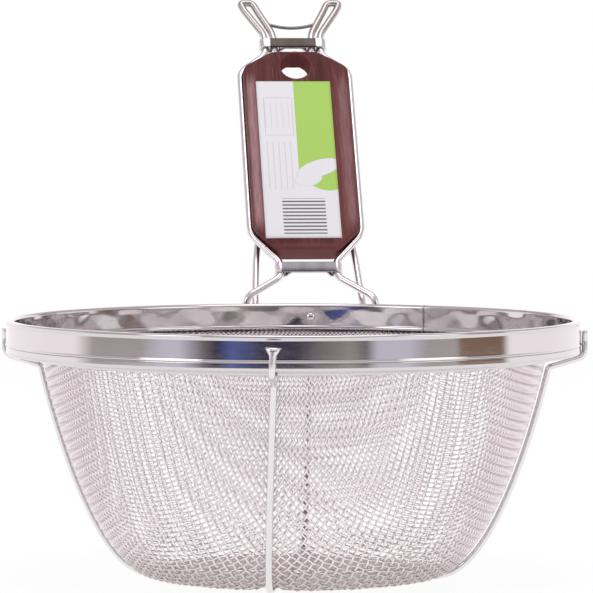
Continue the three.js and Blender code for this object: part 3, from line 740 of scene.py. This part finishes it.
def strand_half_width(way, out):
    """Half a strand's width. The bowl is drawn out sideways by GATHER, and each wire with it: the sheet's
    area grows by GATHER times hypot(GATHER n, m), where n and m are the upright and level parts of its
    normal, and a run's length shrinks by hypot(h / GATHER, v), where h and v are the level and upright
    parts of its direction."""
    area = GATHER * np.sqrt((GATHER * out[:, 2]) ** 2 + 1 - out[:, 2] ** 2)
    return STRAND_HALF * area * np.sqrt((1 - way[:, 2] ** 2) / GATHER**2 + way[:, 2] ** 2)


def sag(x, y):
    """How far the floor hangs beside its ribs: SAG (1 - exp(-(d / SAG_REACH)^2)), d the way to a rib."""
    half_stray = RIB_STRAY / 2
    aside = np.minimum(np.abs(x + half_stray - half_stray * y / FLOOR_RADIUS), np.abs(y))
    fade = np.clip((FLOOR_RADIUS + SAG_FADE - np.hypot(x, y)) / SAG_FADE, 0, 1)
    return SAG * (1 - np.exp(-((aside / SAG_REACH) ** 2))) * fade**2 * (3 - 2 * fade)


def whole_net():
    """Points, outward normals and a mask of all crossings (i, j), i and j from -count to count."""
    k = np.arange(-wire_count, wire_count + 1)
    i, j = np.meshgrid(k, k, indexing="ij")
    f, s = quarter_angle[abs(i), abs(j)], quarter_length[abs(i), abs(j)]
    r, z = np.interp(s, sheet_length, bowl[:, 0]), np.interp(s, sheet_length, bowl[:, 1])
    way = directions(bowl)
    rise, run = np.interp(s, sheet_length, way[:, 1]), np.interp(s, sheet_length, way[:, 0])
    i_side, j_side = np.where(i < 0, -1, 1), np.where(j < 0, -1, 1)
    angle = np.arctan2(i_side * np.sin(f), j_side * np.cos(f)) + np.pi / 4
    x, y = r * np.cos(angle), r * np.sin(angle)
    points = np.stack([x, y, z - sag(x, y)], -1)
    normals = np.stack([rise * np.cos(angle), rise * np.sin(angle), -run], -1)
    return points, normals, s <= sheet_length[-1], np.where((i + j) % 2 == 0, 1.0, -1.0)


def halfway(row):
    """Points between neighbours on a smooth curve: 9/16 of the near pair less 1/16 of the far pair."""
    padded = np.concatenate([2 * row[:1] - row[1:2], row, 2 * row[-1:] - row[-2:-1]])
    return (9 * (row[:-1] + row[1:]) - padded[:-3] - padded[3:]) / 16


def interleaved(crossing, between):
    merged = np.empty((2 * len(crossing) - 1, crossing.shape[1]))
    merged[::2], merged[1::2] = crossing, between
    return merged


def weave_piece(name, rows, points, normals, inside, over):
    """All wires of the given rows, each one a tube along its raised and lowered crossings."""
    all_points, all_quads, all_caps, count = [], [], [], 0
    for row in rows:
        keep = inside[row]
        if keep.sum() < FEWEST_CROSSINGS:
            continue
        base, out = points[row][keep], normals[row][keep]
        raised = base + out * (over[row][keep] * CRIMP)[:, None]
        line = interleaved(raised, halfway(base))
        up = interleaved(out, halfway(out))
        way = directions(line)
        across = np.cross(way, up)
        across = across / np.linalg.norm(across, axis=1, keepdims=True)
        half = strand_half_width(way, up)
        up = np.cross(across, way)
        tube, (quads, caps) = wire_surface(line, across, up, half, STRAND_DEPTH, WEAVE_SIDES)
        all_points.append(tube)
        all_quads.append(quads + count)
        all_caps.append(caps + count)
        count += len(tube)
    blocks = [np.concatenate(all_quads), np.concatenate(all_caps)]
    add_piece(name, np.concatenate(all_points), blocks, weave_steel, ["mesh_basket"], "woven_mesh")


points, normals, inside, over = whole_net()
warp = (points, normals, inside, over)
weft = (points.swapaxes(0, 1), normals.swapaxes(0, 1), inside.T, -over.T)
low_rows, high_rows = np.arange(wire_count), np.arange(wire_count, 2 * wire_count + 1)
for name, rows in (("left", low_rows), ("right", high_rows)):
    weave_piece(f"weave_warp_{name}", rows, *warp)
    weave_piece(f"weave_weft_{name}", rows, *weft)

# %% [markdown]
# ## Ribs and pins
# Two wires are bent to a U, crossed under the floor and taken up outside the wall, round the ring and onto
# the band, where each end is hammered into a small fan. So the section changes on the way: a wide, thin
# ellipse at the fan, a circle along the rib, and half a circle's height at the crossing, where the two are
# pressed into each other. The front rib strays a little to its left. The side that faces the mesh is painted
# dark as painted shade: all along the one rib, and on the floor only along the other. A pin behind each
# fan goes through the band and ends in a dome.

# %% Ribs
RIB_BEND, RIB_SPACING, RIB_SIDES, CROSSING_REACH = 2.4, 1.3, 16, 2.2
# How far past the floor's edge the painted shade on the ribs reaches, and over what length it fades.
SHADE_PAST_FLOOR, SHADE_FADE = 13.0, 10.0
FAN_HALF, FAN_RIM, FAN_FLARE, FAN_DROP, FAN_CURVE, FAN_THINNED = 2.6, 0.7, 1.4, 3.7, 1.5, 0.1
fan_top = RIM_HEIGHT - FAN_DROP
fan_base = fan_top - FAN_RIM - FAN_FLARE


def rib_side():
    """One side of a rib as (distance from the axis, height), from the fan down to the floor's edge."""
    round_ring = offset_line(ring_corners, -(SHEET / 2 + FIT / 3 + RIB_RADIUS))
    bowl_below = np.concatenate([[[0, MESH_FLOOR]], wall_line(36)])
    under = offset_line(bowl_below, MESH_THICKNESS / 2 + FIT + RIB_FLAT)
    below_ring = round_ring[1, 1] + (under[:, 0] - round_ring[1, 0]) * slope[1] / slope[0]
    under = under[1:][under[1:, 1] < below_ring[1:]][::-1]
    top = np.array([[BAND_RADIUS + FIT / 3 + RIB_RADIUS, fan_top]])
    return np.concatenate([top, round_ring[1:2], under])


def rib_surface(quarters, stray, lift, wall_painted_shade):
    """A rib across the bowl, turned by quarters, its first side straying to the left on the way down. Its
    place, which carries the painted shade, is 1 on the side that faces the mesh and -1 opposite, on the
    wall only if the last argument is 1."""
    side = rib_side()
    drift = -stray * (fan_top - side[:, 1]) / (fan_top - RIB_FLAT)
    near = np.stack([drift, -side[:, 0], side[:, 1]], -1)
    far = np.stack([0 * drift, side[:, 0], side[:, 1]], -1)[::-1]
    line = refined(rounded(np.concatenate([near, far]), RIB_BEND, 8), RIB_SPACING)
    fan_height = np.clip((line[:, 2] - fan_base) / FAN_FLARE, 0, 1) ** FAN_CURVE
    half_across = RIB_RADIUS + (FAN_HALF - RIB_RADIUS) * fan_height
    half_up = RIB_FLAT - FAN_THINNED * fan_height
    pressed = np.exp(-((line[:, 1] / CROSSING_REACH) ** 2)) * (line[:, 2] < 2 * RIB_RADIUS)
    half_up = half_up * (1 - 0.5 * pressed)
    line = line + np.array([0, 0, 1]) * (lift * 0.5 * RIB_FLAT * pressed)[:, None]
    across = np.broadcast_to(np.array([1.0, 0, 0]), line.shape)
    way = directions(line)
    across = across - way * np.einsum("ij,ij->i", across, way)[:, None]
    across = across / np.linalg.norm(across, axis=1, keepdims=True)
    points, blocks = wire_surface(line, across, np.cross(way, across), half_across, half_up, RIB_SIDES)
    # Painted shade on the side that faces the mesh: on the floor and a little past it, and all along a rib
    # whose wall is shaded too.
    past_floor = FLOOR_RADIUS + SHADE_PAST_FLOOR - np.abs(line[:, 1])
    painted_shade = np.maximum(np.clip(past_floor / SHADE_FADE, 0, 1), wall_painted_shade)
    painted_shade_side = np.outer(painted_shade, -np.sin(np.linspace(0, 2 * np.pi, RIB_SIDES, endpoint=False))).ravel()
    return quarter_turns(points, quarters), blocks, np.stack([painted_shade_side, 0 * painted_shade_side, 0 * painted_shade_side], -1)


# The last number says whether a rib's painted shade runs up the wall as well.
ribs = (("front_back", 0, RIB_STRAY, 1, 1), ("left_right", 1, 0, -1, 0))
for name, quarters, stray, lift, wall_painted_shade in ribs:
    rib_points, rib_blocks, painted_shade_place = rib_surface(quarters, stray, lift, wall_painted_shade)
    add_piece(f"rib_wire_{name}", rib_points, rib_blocks, rib_steel_painted_shade, [f"rib_{name}"], "steel_wire", painted_shade_place)


# %% Pins
PIN_RADIUS, PIN_HEAD_RADIUS, PIN_HEAD_HEIGHT, PIN_HEAD_EDGE = 0.8, 1.5, 0.8, 0.15
PIN_GAP, PIN_HEAD_EASE = 0.05, 0.1
pin_height = fan_top - (FAN_RIM + FAN_FLARE) / 2


def pin_surface(quarters, steps=24):
    """A shank and a domed head turned round a line that points at the axis."""
    dome = np.linspace(0, np.pi / 2, 9)
    head = LINER_RADIUS - PIN_GAP
    dome_foot, dome_rise = head - PIN_HEAD_EDGE, PIN_HEAD_HEIGHT - PIN_HEAD_EDGE
    profile = np.concatenate([
        [[0, BAND_RADIUS], [PIN_RADIUS, BAND_RADIUS], [PIN_RADIUS, head]],
        [[PIN_HEAD_RADIUS - PIN_HEAD_EASE, head]],
        np.stack([PIN_HEAD_RADIUS * np.cos(dome), dome_foot - dome_rise * np.sin(dome)], -1),
    ])
    a = np.linspace(0, 2 * np.pi, steps, endpoint=False)
    r, along = profile.T
    height = pin_height + np.outer(np.sin(a), r)
    points = np.stack([np.outer(np.cos(a), r), np.tile(-along, (steps, 1)), height], -1)
    blocks = [grid_faces(steps, len(profile), True, False)]
    return quarter_turns(points.reshape(-1, 3), quarters), blocks


for quarters, place in enumerate(("front", "right", "back", "left")):
    add_piece(f"pin_{place}", *pin_surface(quarters), wire_steel, [f"rib_pin_{place}"], "steel_wire")

# %% [markdown]
# ## The handle's own axes
# The handle leans back and is turned a little to one side. All its pieces are worked out upright, as
# millimetres across, along and out of the grip, and one function sets them in place: lean first, then turn,
# then move to the seat on the rim.

# %% The handle's place
HANDLE_LEAN, HANDLE_TURN = np.radians(35.0), np.radians(9.6)
WIRE_RADIUS = 1.3
FOOT_RADIUS = RIM_RADIUS + FIT + WIRE_RADIUS
FRONT_FOOT, BACK_FOOT, FOOT_LENGTH, FOOT_RISE = 22.8, 19.0, 7.5, 2.0
handle_seat = np.array([0, np.sqrt(FOOT_RADIUS**2 - FRONT_FOOT**2), RIM_HEIGHT])


def on_handle(local):
    """(across, along, out) on the grip to the frame's x, y, z."""
    across, along, out = np.asarray(local, float).T
    back = -out * np.cos(HANDLE_LEAN) + along * np.sin(HANDLE_LEAN)
    rise = out * np.sin(HANDLE_LEAN) + along * np.cos(HANDLE_LEAN)
    x = across * np.cos(HANDLE_TURN) - back * np.sin(HANDLE_TURN)
    y = across * np.sin(HANDLE_TURN) + back * np.cos(HANDLE_TURN)
    return np.stack([x, y, rise], -1) + handle_seat


print("handle's seat:", handle_seat.round(2))

# %% [markdown]
# ## Handle wires and hook
# Each wire starts on the rim, is held by the low clip, runs in a groove along the grip, passes the top clip
# and is folded back on itself to an ear that hooks over a pot's edge. It comes back through the same clip,
# beside itself, and goes down behind the grip to a second foot. A thin wire sags between the two ears.

# %% Handle wires
GRIP_START, GRIP_LENGTH, GRIP_WIDTH, GRIP_THICKNESS = 21.5, 84.3, 38.4, 9.0
TOP_ACROSS, TOP_ALONG, LOW_ACROSS, LOW_ALONG = 10.8, 6.8, 8.2, 7.5
GRIP_TOP = GRIP_START + GRIP_LENGTH
GROOVE_OUT, GRIP_EDGE, WELD_DEPTH, BACK_FOOT_DROP = 0.65, 2.0, 0.1, 8.0
CLIP_WIDTH, WIRE_BEND, LOW_WIRE_BEND, LOW_CLIP_GAP, TOP_CLIP_GAP = 4.0, 2.4, 1.0, 5.4, 3.3
ROUTE_BEND, ROUTE_SPACING, WIRE_SIDES = 3.0, 3.0, 16
LOW_CLIP_HALF, TOP_CLIP_HALF, TOP_CLIP_INNER = 9.8, 10.1, 6.8
low_clip_at = GRIP_START - LOW_CLIP_GAP - CLIP_WIDTH / 2
top_clip_at = GRIP_TOP + TOP_CLIP_GAP + CLIP_WIDTH / 2
clip_reach, low_clip_reach = CLIP_WIDTH / 2 + WIRE_BEND, CLIP_WIDTH / 2 + LOW_WIRE_BEND
BACK_PLANE = -(GRIP_THICKNESS / 2 + FIT + WIRE_RADIUS)
EAR_HALF, NECK_HALF, EAR_WIDTH, EAR_NECK, EAR_LENGTH = 16.1, 14.6, 4.6, 3.5, 17.0
ear_top = top_clip_at + CLIP_WIDTH / 2 + EAR_LENGTH
groove_x = GRIP_WIDTH / 2 + GROOVE_OUT
WELD_RADIUS = BAND_RADIUS + LIP_SWELL + WIRE_RADIUS - WELD_DEPTH


def foot_point(side, reach, drop):
    """A point on the circle where a wire touches the lip."""
    return np.array([side * reach, np.sqrt(WELD_RADIUS**2 - reach**2), RIM_HEIGHT - drop])


def handle_wire(side):
    """The route of one wire, foot to foot, with rounded corners, as a round tube."""
    on_grip = np.array([
        [LOW_CLIP_HALF, low_clip_at - low_clip_reach, 0],
        [LOW_CLIP_HALF, low_clip_at + low_clip_reach, 0],
        [groove_x, GRIP_START + LOW_ALONG, 0],
        [groove_x, GRIP_TOP - TOP_ALONG, 0],
        [TOP_CLIP_HALF, top_clip_at - clip_reach, 0],
        [TOP_CLIP_HALF, top_clip_at + clip_reach, 0],
        [NECK_HALF + EAR_WIDTH / 2, ear_top - EAR_NECK, 0],
        [EAR_HALF + EAR_WIDTH / 2, ear_top, 0],
        [EAR_HALF - EAR_WIDTH / 2, ear_top, 0],
        [NECK_HALF - EAR_WIDTH / 2, ear_top - EAR_NECK, 0],
        [TOP_CLIP_INNER, top_clip_at + clip_reach, 0],
        [TOP_CLIP_INNER, top_clip_at - clip_reach, 0],
        [TOP_CLIP_INNER, GRIP_TOP - GRIP_EDGE, BACK_PLANE],
        [BACK_FOOT - WIRE_RADIUS, GRIP_START, BACK_PLANE],
        [BACK_FOOT, FOOT_RISE + WIRE_BEND, BACK_PLANE],
    ]) * [side, 1, 1]
    route = np.concatenate([
        [foot_point(side, FRONT_FOOT, FOOT_LENGTH), foot_point(side, FRONT_FOOT, -FOOT_RISE)],
        on_handle(on_grip),
        [foot_point(side, BACK_FOOT, drop + FOOT_LENGTH / 2) for drop in (0.0, BACK_FOOT_DROP)],
    ])
    line = refined(rounded(route, ROUTE_BEND, 10), ROUTE_SPACING)
    return wire_surface(line, *moving_frames(line), WIRE_RADIUS, WIRE_RADIUS, WIRE_SIDES)


for place, side in (("left", -1), ("right", 1)):
    node = f"handle_wire_{place}"
    add_piece(f"{node}_bent", *handle_wire(side), wire_steel, [node], "steel_wire")


# %% Hook wire
HOOK_SEAT, HOOK_SAG, HOOK_RADIUS, HOOK_STEPS, HOOK_SIDES = 5.4, 2.0, 0.6, 41, 12


def hook_wire():
    """A parabola that sags between the inner strands of the ears."""
    share = HOOK_SEAT / (ear_top - EAR_NECK - top_clip_at - clip_reach)
    reach = TOP_CLIP_INNER + (NECK_HALF - EAR_WIDTH / 2 - TOP_CLIP_INNER) * share
    t = np.linspace(-1, 1, HOOK_STEPS)
    along = top_clip_at + clip_reach + HOOK_SEAT - HOOK_SAG * (1 - t**2)
    line = on_handle(np.stack([t * reach, along, 0 * t], -1))
    return wire_surface(line, *moving_frames(line), HOOK_RADIUS, HOOK_RADIUS, HOOK_SIDES)


add_piece("hook_wire_sagging", *hook_wire(), hook_steel, ["hook_wire"], "steel_wire")

# %% [markdown]
# ## Clips
# A clip is a short strip bent round the wires. Its middle line is a closed curve in the plane across the
# handle: a flat front, half circles round the outer wires, and a back that is pinched against the front
# where no wire lies. A small rounded rectangle is carried along that curve.

# %% Clips
CLIP_SHEET, CLIP_FIT, CLIP_EASE, PINCH_PAST_WIRE, PINCH_RAMP = 0.8, 0.04, 0.3, 1.7, 2.2
clip_bend = WIRE_RADIUS + CLIP_FIT + CLIP_SHEET / 2


def clip_line(half, pinched):
    """The closed middle line (across, out); its back rises to the front over the pinched half width."""
    turn = np.radians(np.linspace(90, -90, 17))
    right = np.stack([half + clip_bend * np.cos(turn), clip_bend * np.sin(turn)], -1)
    run = np.linspace(-half, half, 61)[1:-1]
    share = np.clip((pinched - np.abs(run)) / PINCH_RAMP, 0, 1)
    rise = (2 * clip_bend - CLIP_SHEET - CLIP_FIT) * share**2 * (3 - 2 * share)
    front, back = np.stack([run, 0 * run + clip_bend], -1), np.stack([-run, rise - clip_bend], -1)
    return np.concatenate([front, right, back, -right])


def clip_surface(line, at):
    """A rounded rectangle, sheet by width, carried round the closed line."""
    ahead, behind = np.roll(line, -1, axis=0), np.roll(line, 1, axis=0)
    way = (ahead - behind) / np.linalg.norm(ahead - behind, axis=1, keepdims=True)
    normal = np.stack([-way[:, 1], way[:, 0]], -1)
    corner = np.radians([0, 30, 60, 90])
    quarter = np.stack([np.cos(corner), np.sin(corner)], -1) * CLIP_EASE
    quarter = quarter + [CLIP_SHEET / 2 - CLIP_EASE, CLIP_WIDTH / 2 - CLIP_EASE]
    back = quarter[::-1]
    section = np.concatenate([quarter, back * [-1, 1], -quarter, back * [1, -1]])
    flat = line[:, None] + normal[:, None] * section[None, :, :1]
    along = np.broadcast_to(at + section[None, :, 1], flat.shape[:2])
    local = np.stack([flat[..., 0], along, flat[..., 1]], -1).reshape(-1, 3)
    return local, [grid_faces(len(line), len(section), True, True)]


for node, half, inner, at, finish in (
    ("low_clip", LOW_CLIP_HALF, LOW_CLIP_HALF, low_clip_at, clip_steel),
    ("top_clip", TOP_CLIP_HALF, TOP_CLIP_INNER, top_clip_at, painted_dark_clip_steel),
):
    local, blocks = clip_surface(clip_line(half, inner - PINCH_PAST_WIRE), at)
    add_piece(f"{node}_strip", on_handle(local), blocks, finish, [node], "clip_steel", local)

# %% [markdown]
# ## The grip
# The grip is a flat board with its corners cut off, its edges eased and a hole near the top. A board with a
# hole is a bent tube: going across it, the surface runs over the front face from the hole to the edge,
# round the eased edge and the groove that takes the wire, back over the rear face and through the hole. So
# one grid that is closed both ways makes it, with the outline as its rows.

# %% Grip
HOLE_EASE, EASE, GRIP_TAIL, CORNER_BEND, OUTLINE_STEPS, END_FACING = 0.7, 1.4, 1.0, 2.6, 320, 0.95


def grip_outline(count):
    """The board's outline with slightly rounded corners, evenly spaced, and its outward normals."""
    half = GRIP_WIDTH / 2
    right = np.array([
        [half - LOW_ACROSS, GRIP_START - GRIP_TAIL], [half, GRIP_START + LOW_ALONG],
        [half, GRIP_TOP - TOP_ALONG], [half - TOP_ACROSS, GRIP_TOP],
    ])
    ring = np.concatenate([right, right[::-1] * [-1, 1]])
    middle = (ring[-1] + ring[0]) / 2
    line = rounded(np.concatenate([[middle], ring, [middle]]), CORNER_BEND, 8)
    length = np.concatenate([[0], np.cumsum(np.linalg.norm(np.diff(line, axis=0), axis=1))])
    at = np.linspace(0, length[-1], count, endpoint=False)
    line = np.stack([np.interp(at, length, line[:, 0]), np.interp(at, length, line[:, 1])], -1)
    way = np.roll(line, -1, axis=0) - np.roll(line, 1, axis=0)
    way = way / np.linalg.norm(way, axis=1, keepdims=True)
    return line, np.stack([way[:, 1], -way[:, 0]], -1)


def grip_surface():
    """Rows round the outline; columns over the front, round the edge, over the back and through the hole."""
    line, normal = grip_outline(OUTLINE_STEPS)
    hole = np.array([0, HOLE_ALONG])
    spoke = line - hole
    spoke = spoke / np.linalg.norm(spoke, axis=1, keepdims=True)
    half = GRIP_THICKNESS / 2
    ease = np.linspace(0, np.pi / 2, 8)
    side = np.linspace(half - EASE, -(half - EASE), 15)[1:-1]
    inset, rise = EASE * (1 - np.sin(ease)), half - EASE + EASE * np.cos(ease)
    inset = np.concatenate([inset, 0 * side, inset[::-1]])
    out = np.concatenate([rise, side, -rise[::-1]])
    groove = np.sqrt(np.maximum((WIRE_RADIUS + FIT) ** 2 - out**2, 0)) - GROOVE_OUT
    groove = np.maximum(groove, 0)[None] * (np.abs(normal[:, 1:]) < END_FACING)
    edge = line[:, None] - normal[:, None] * (inset[None] + groove)[..., None]
    share = np.linspace(0, 1, 9)[1:-1]
    mouth = hole + spoke * (HOLE_RADIUS + HOLE_EASE)
    front = mouth[:, None] + (edge[:, :1] - mouth[:, None]) * share[None, :, None]
    back = front[:, ::-1]
    turn = np.linspace(0, np.pi / 2, 5)
    bore, bore_out = HOLE_RADIUS + HOLE_EASE * (1 - np.sin(turn)), HOLE_EASE * (1 - np.cos(turn)) - half
    bore, bore_out = np.concatenate([bore, bore[::-1]]), np.concatenate([bore_out, -bore_out[::-1]])
    through = hole + spoke[:, None] * bore[None, :, None]
    flat = np.concatenate([front, edge, back, through], axis=1)
    depth = np.concatenate([np.full(len(share), half), out, np.full(len(share), -half), bore_out])
    rows, columns = flat.shape[:2]
    local = np.concatenate([flat, np.broadcast_to(depth[None, :, None], (rows, columns, 1))], -1)
    return local.reshape(-1, 3), [grid_faces(rows, columns, True, True)]


grip_local, grip_blocks = grip_surface()
board = on_handle(grip_local)
add_piece("grip_board", board, grip_blocks, stained_wood, ["grip"], "stained_wood", grip_local)

# %% [markdown]
# ## The label
# The sheet lies on the front of the grip. It could be a single face, but then its cut edges would be missing,
# so a paper-thin rectangle is carried along the grip. Paper on wood is never quite flat, so it bows by a few
# hundredths of a millimetre.

# %% Label
LABEL_THICKNESS, LABEL_SHIFT, LABEL_INSET, LABEL_BOW, GLUE = 0.25, 1.4, 14.0, 0.05, 0.02
ROWS, COLUMNS = 56, 24


def label_surface():
    """A thin rectangle carried along the grip, with its place counted from the sheet's low left corner."""
    x = np.linspace(0, LABEL_WIDTH, COLUMNS)
    across = np.tile(np.concatenate([x, x[::-1]]), (ROWS, 1))
    along = np.tile(np.linspace(0, LABEL_LENGTH, ROWS)[:, None], (1, 2 * COLUMNS))
    thick = LABEL_THICKNESS * (np.arange(2 * COLUMNS) < COLUMNS)
    bow = LABEL_BOW * np.sin(np.pi * along / LABEL_LENGTH) ** 2 * np.sin(np.pi * across / LABEL_WIDTH)
    sheet = np.stack([across, along, thick + bow], -1).reshape(-1, 3)
    end = np.arange(2 * COLUMNS)
    caps = np.stack([end, (ROWS - 1) * 2 * COLUMNS + end[::-1]])
    left, low = -LABEL_SHIFT - LABEL_WIDTH / 2, GRIP_TOP - LABEL_INSET - LABEL_LENGTH
    corner = [left, low, GRIP_THICKNESS / 2 + GLUE]
    return sheet, sheet + corner, [grid_faces(ROWS, 2 * COLUMNS, False, True), caps[:, ::-1]]


label_place, label_local, label_blocks = label_surface()
sheet = on_handle(label_local)
add_piece("label_sheet", sheet, label_blocks, label_paper, ["grip_label"], "label_paper", label_place)

# %% [markdown]
# ## The studio
# Polished steel has no colour of its own, so what stands round it matters more than the lamps. The world is
# white for the camera and evenly lit for matt surfaces. Only mirrors see the room in it: white walls at the
# sides and behind the handle, a dark opening with a blue window on the side of the camera, and pale, grey,
# olive and brown boards between them, under a grey ceiling. The floor is a pale disc.

# %% World
CAMERA_TURN = np.radians(3.75)


def studio_world():
    """White for the camera, plain light for matt surfaces, a room of upright boards for mirrors."""
    world = bpy.data.worlds.new("studio")
    bpy.context.scene.world = world
    world.use_nodes = True
    tree = world.node_tree
    start = Value(tree)
    way = start.node("ShaderNodeTexCoord", out="Generated")
    azimuth = way.axis("X").math("ARCTAN2", way.axis("Y") * -1.0) - CAMERA_TURN
    white, pale, grey = (1.15, 1.10, 1.12), (0.68, 0.67, 0.77), (0.46, 0.43, 0.43)
    shade, night, blue = (0.19, 0.16, 0.17), (0.04, 0.035, 0.07), (0.10, 0.14, 0.40)
    olive, brown = (0.34, 0.33, 0.29), (0.25, 0.16, 0.11)
    overhead, plain = (0.62, 0.59, 0.60), (0.62, 0.61, 0.61)
    degrees = [
        (-180, white), (-96, white), (-86, grey), (-62, grey), (-52, pale), (-45, pale), (-35, shade),
        (-30, night), (-24, blue), (-12, night), (0, night), (9, shade), (22, olive), (28, shade),
        (33, pale), (46, pale), (54, grey), (66, grey), (69, brown), (91, brown), (95, white), (180, white),
    ]
    stops = [((angle + 180) / 360, colour) for angle, colour in degrees]
    share = azimuth * (0.5 / np.pi) + 0.5
    boards = share.node("ShaderNodeValToRGB", {"stops": stops}, {0: share})
    ceiling = way.axis("Z").between(0.22, 0.42)
    room = ceiling.mix(boards, overhead)
    paths = start.node("ShaderNodeLightPath")
    seen = paths.pick("Is Glossy Ray").mix(plain, room)
    colour = paths.pick("Is Camera Ray").mix(seen, (1.0, 1.0, 1.0))
    tree.links.new(colour.socket, tree.nodes["Background"].inputs["Color"])


studio_world()
print("world:", bpy.context.scene.world.name)


# %% Floor
STUDIO_RADIUS, FLOOR_DROP, FLOOR_SIDES = 1.1, 0.0002, 96
GLOW, CAMERA_SHARE, MIRROR_SHARE = 1.08, 0.8, 0.9


def studio_floor():
    """A flat disc whose matt white is lifted to full white for the camera, so that only shadow shows."""
    finish, start, _ = new_finish("pale_floor", {"Base Color": (0.86, 0.86, 0.86, 1), "Roughness": 0.7})
    tree = finish.node_tree
    glow = start.node("ShaderNodeEmission", None, {"Color": (1, 1, 1, 1), "Strength": GLOW})
    paths = start.node("ShaderNodeLightPath")
    mirrored = paths.pick("Is Glossy Ray") * MIRROR_SHARE
    seen = (paths.pick("Is Camera Ray") * CAMERA_SHARE).math("MAXIMUM", mirrored)
    shader = Value(tree, tree.nodes["Principled BSDF"].outputs[0])
    both = start.node("ShaderNodeMixShader", None, {0: seen, 1: shader, 2: glow})
    tree.links.new(both.socket, tree.nodes["Material Output"].inputs[0])
    a = np.linspace(0, 2 * np.pi, FLOOR_SIDES, endpoint=False)
    points = np.stack([STUDIO_RADIUS * np.cos(a), STUDIO_RADIUS * np.sin(a), 0 * a - FLOOR_DROP], -1)
    mesh = bpy.data.meshes.new("floor")
    mesh.from_pydata(points.tolist(), [], [list(range(FLOOR_SIDES))])
    mesh.materials.append(finish)
    floor = bpy.data.objects.new("floor", mesh)
    bpy.context.scene.collection.objects.link(floor)


studio_floor()
print("floor radius in metres:", STUDIO_RADIUS)

# %% [markdown]
# The lamps are three large soft boxes: one above, one at the left in front and a weaker one at the right.
# They lift the top of the lip and draw the long highlights on the wires.

# %% Lamps
def soft_box(name, place, aim, size, power):
    """An area lamp at a place in metres, turned to face the aim."""
    lamp = bpy.data.lights.new(name, "AREA")
    lamp.shape, lamp.size, lamp.energy = "DISK", size, power
    box = bpy.data.objects.new(name, lamp)
    box.location = place
    away = np.array(place) - np.array(aim)
    yaw = np.arctan2(away[0], -away[1])
    pitch = np.arctan2(np.hypot(away[0], away[1]), away[2])
    box.rotation_euler = (pitch, 0, yaw)
    bpy.context.scene.collection.objects.link(box)


soft_box("box_above", (0.1, -0.2, 1.6), (0, 0, 0.05), 1.2, 6)
soft_box("box_left", (-1.2, -1.1, 0.9), (0, 0, 0.08), 0.8, 3.5)
soft_box("box_right", (1.3, -0.7, 0.7), (0, 0, 0.08), 0.8, 2)

# %% [markdown]
# ## The camera
# The photograph was taken from far away with a long lens, a little above the rim. The camera stands 1.33 m
# from the basket's axis and looks down by three degrees.

# %% Camera
CAMERA_DISTANCE, CAMERA_HEIGHT = 1.330, 0.1605
CAMERA_PITCH, CAMERA_ASIDE = np.radians(2.92), np.radians(0.0423)
FOCAL_PIXELS, FRAME_PIXELS, SENSOR_WIDTH = 4060, 593, 36.0

camera_data = bpy.data.cameras.new("camera")
camera_data.sensor_width = SENSOR_WIDTH
camera_data.lens = SENSOR_WIDTH * FOCAL_PIXELS / FRAME_PIXELS
camera = bpy.data.objects.new("camera", camera_data)
camera.location = (
    CAMERA_DISTANCE * np.sin(CAMERA_TURN), -CAMERA_DISTANCE * np.cos(CAMERA_TURN), CAMERA_HEIGHT
)
camera.rotation_euler = (np.pi / 2 - CAMERA_PITCH, 0, CAMERA_TURN - CAMERA_ASIDE)
bpy.context.scene.collection.objects.link(camera)
bpy.context.scene.camera = camera
bpy.context.scene.view_settings.view_transform = "Standard"
print(f"lens {camera_data.lens:.1f} mm")
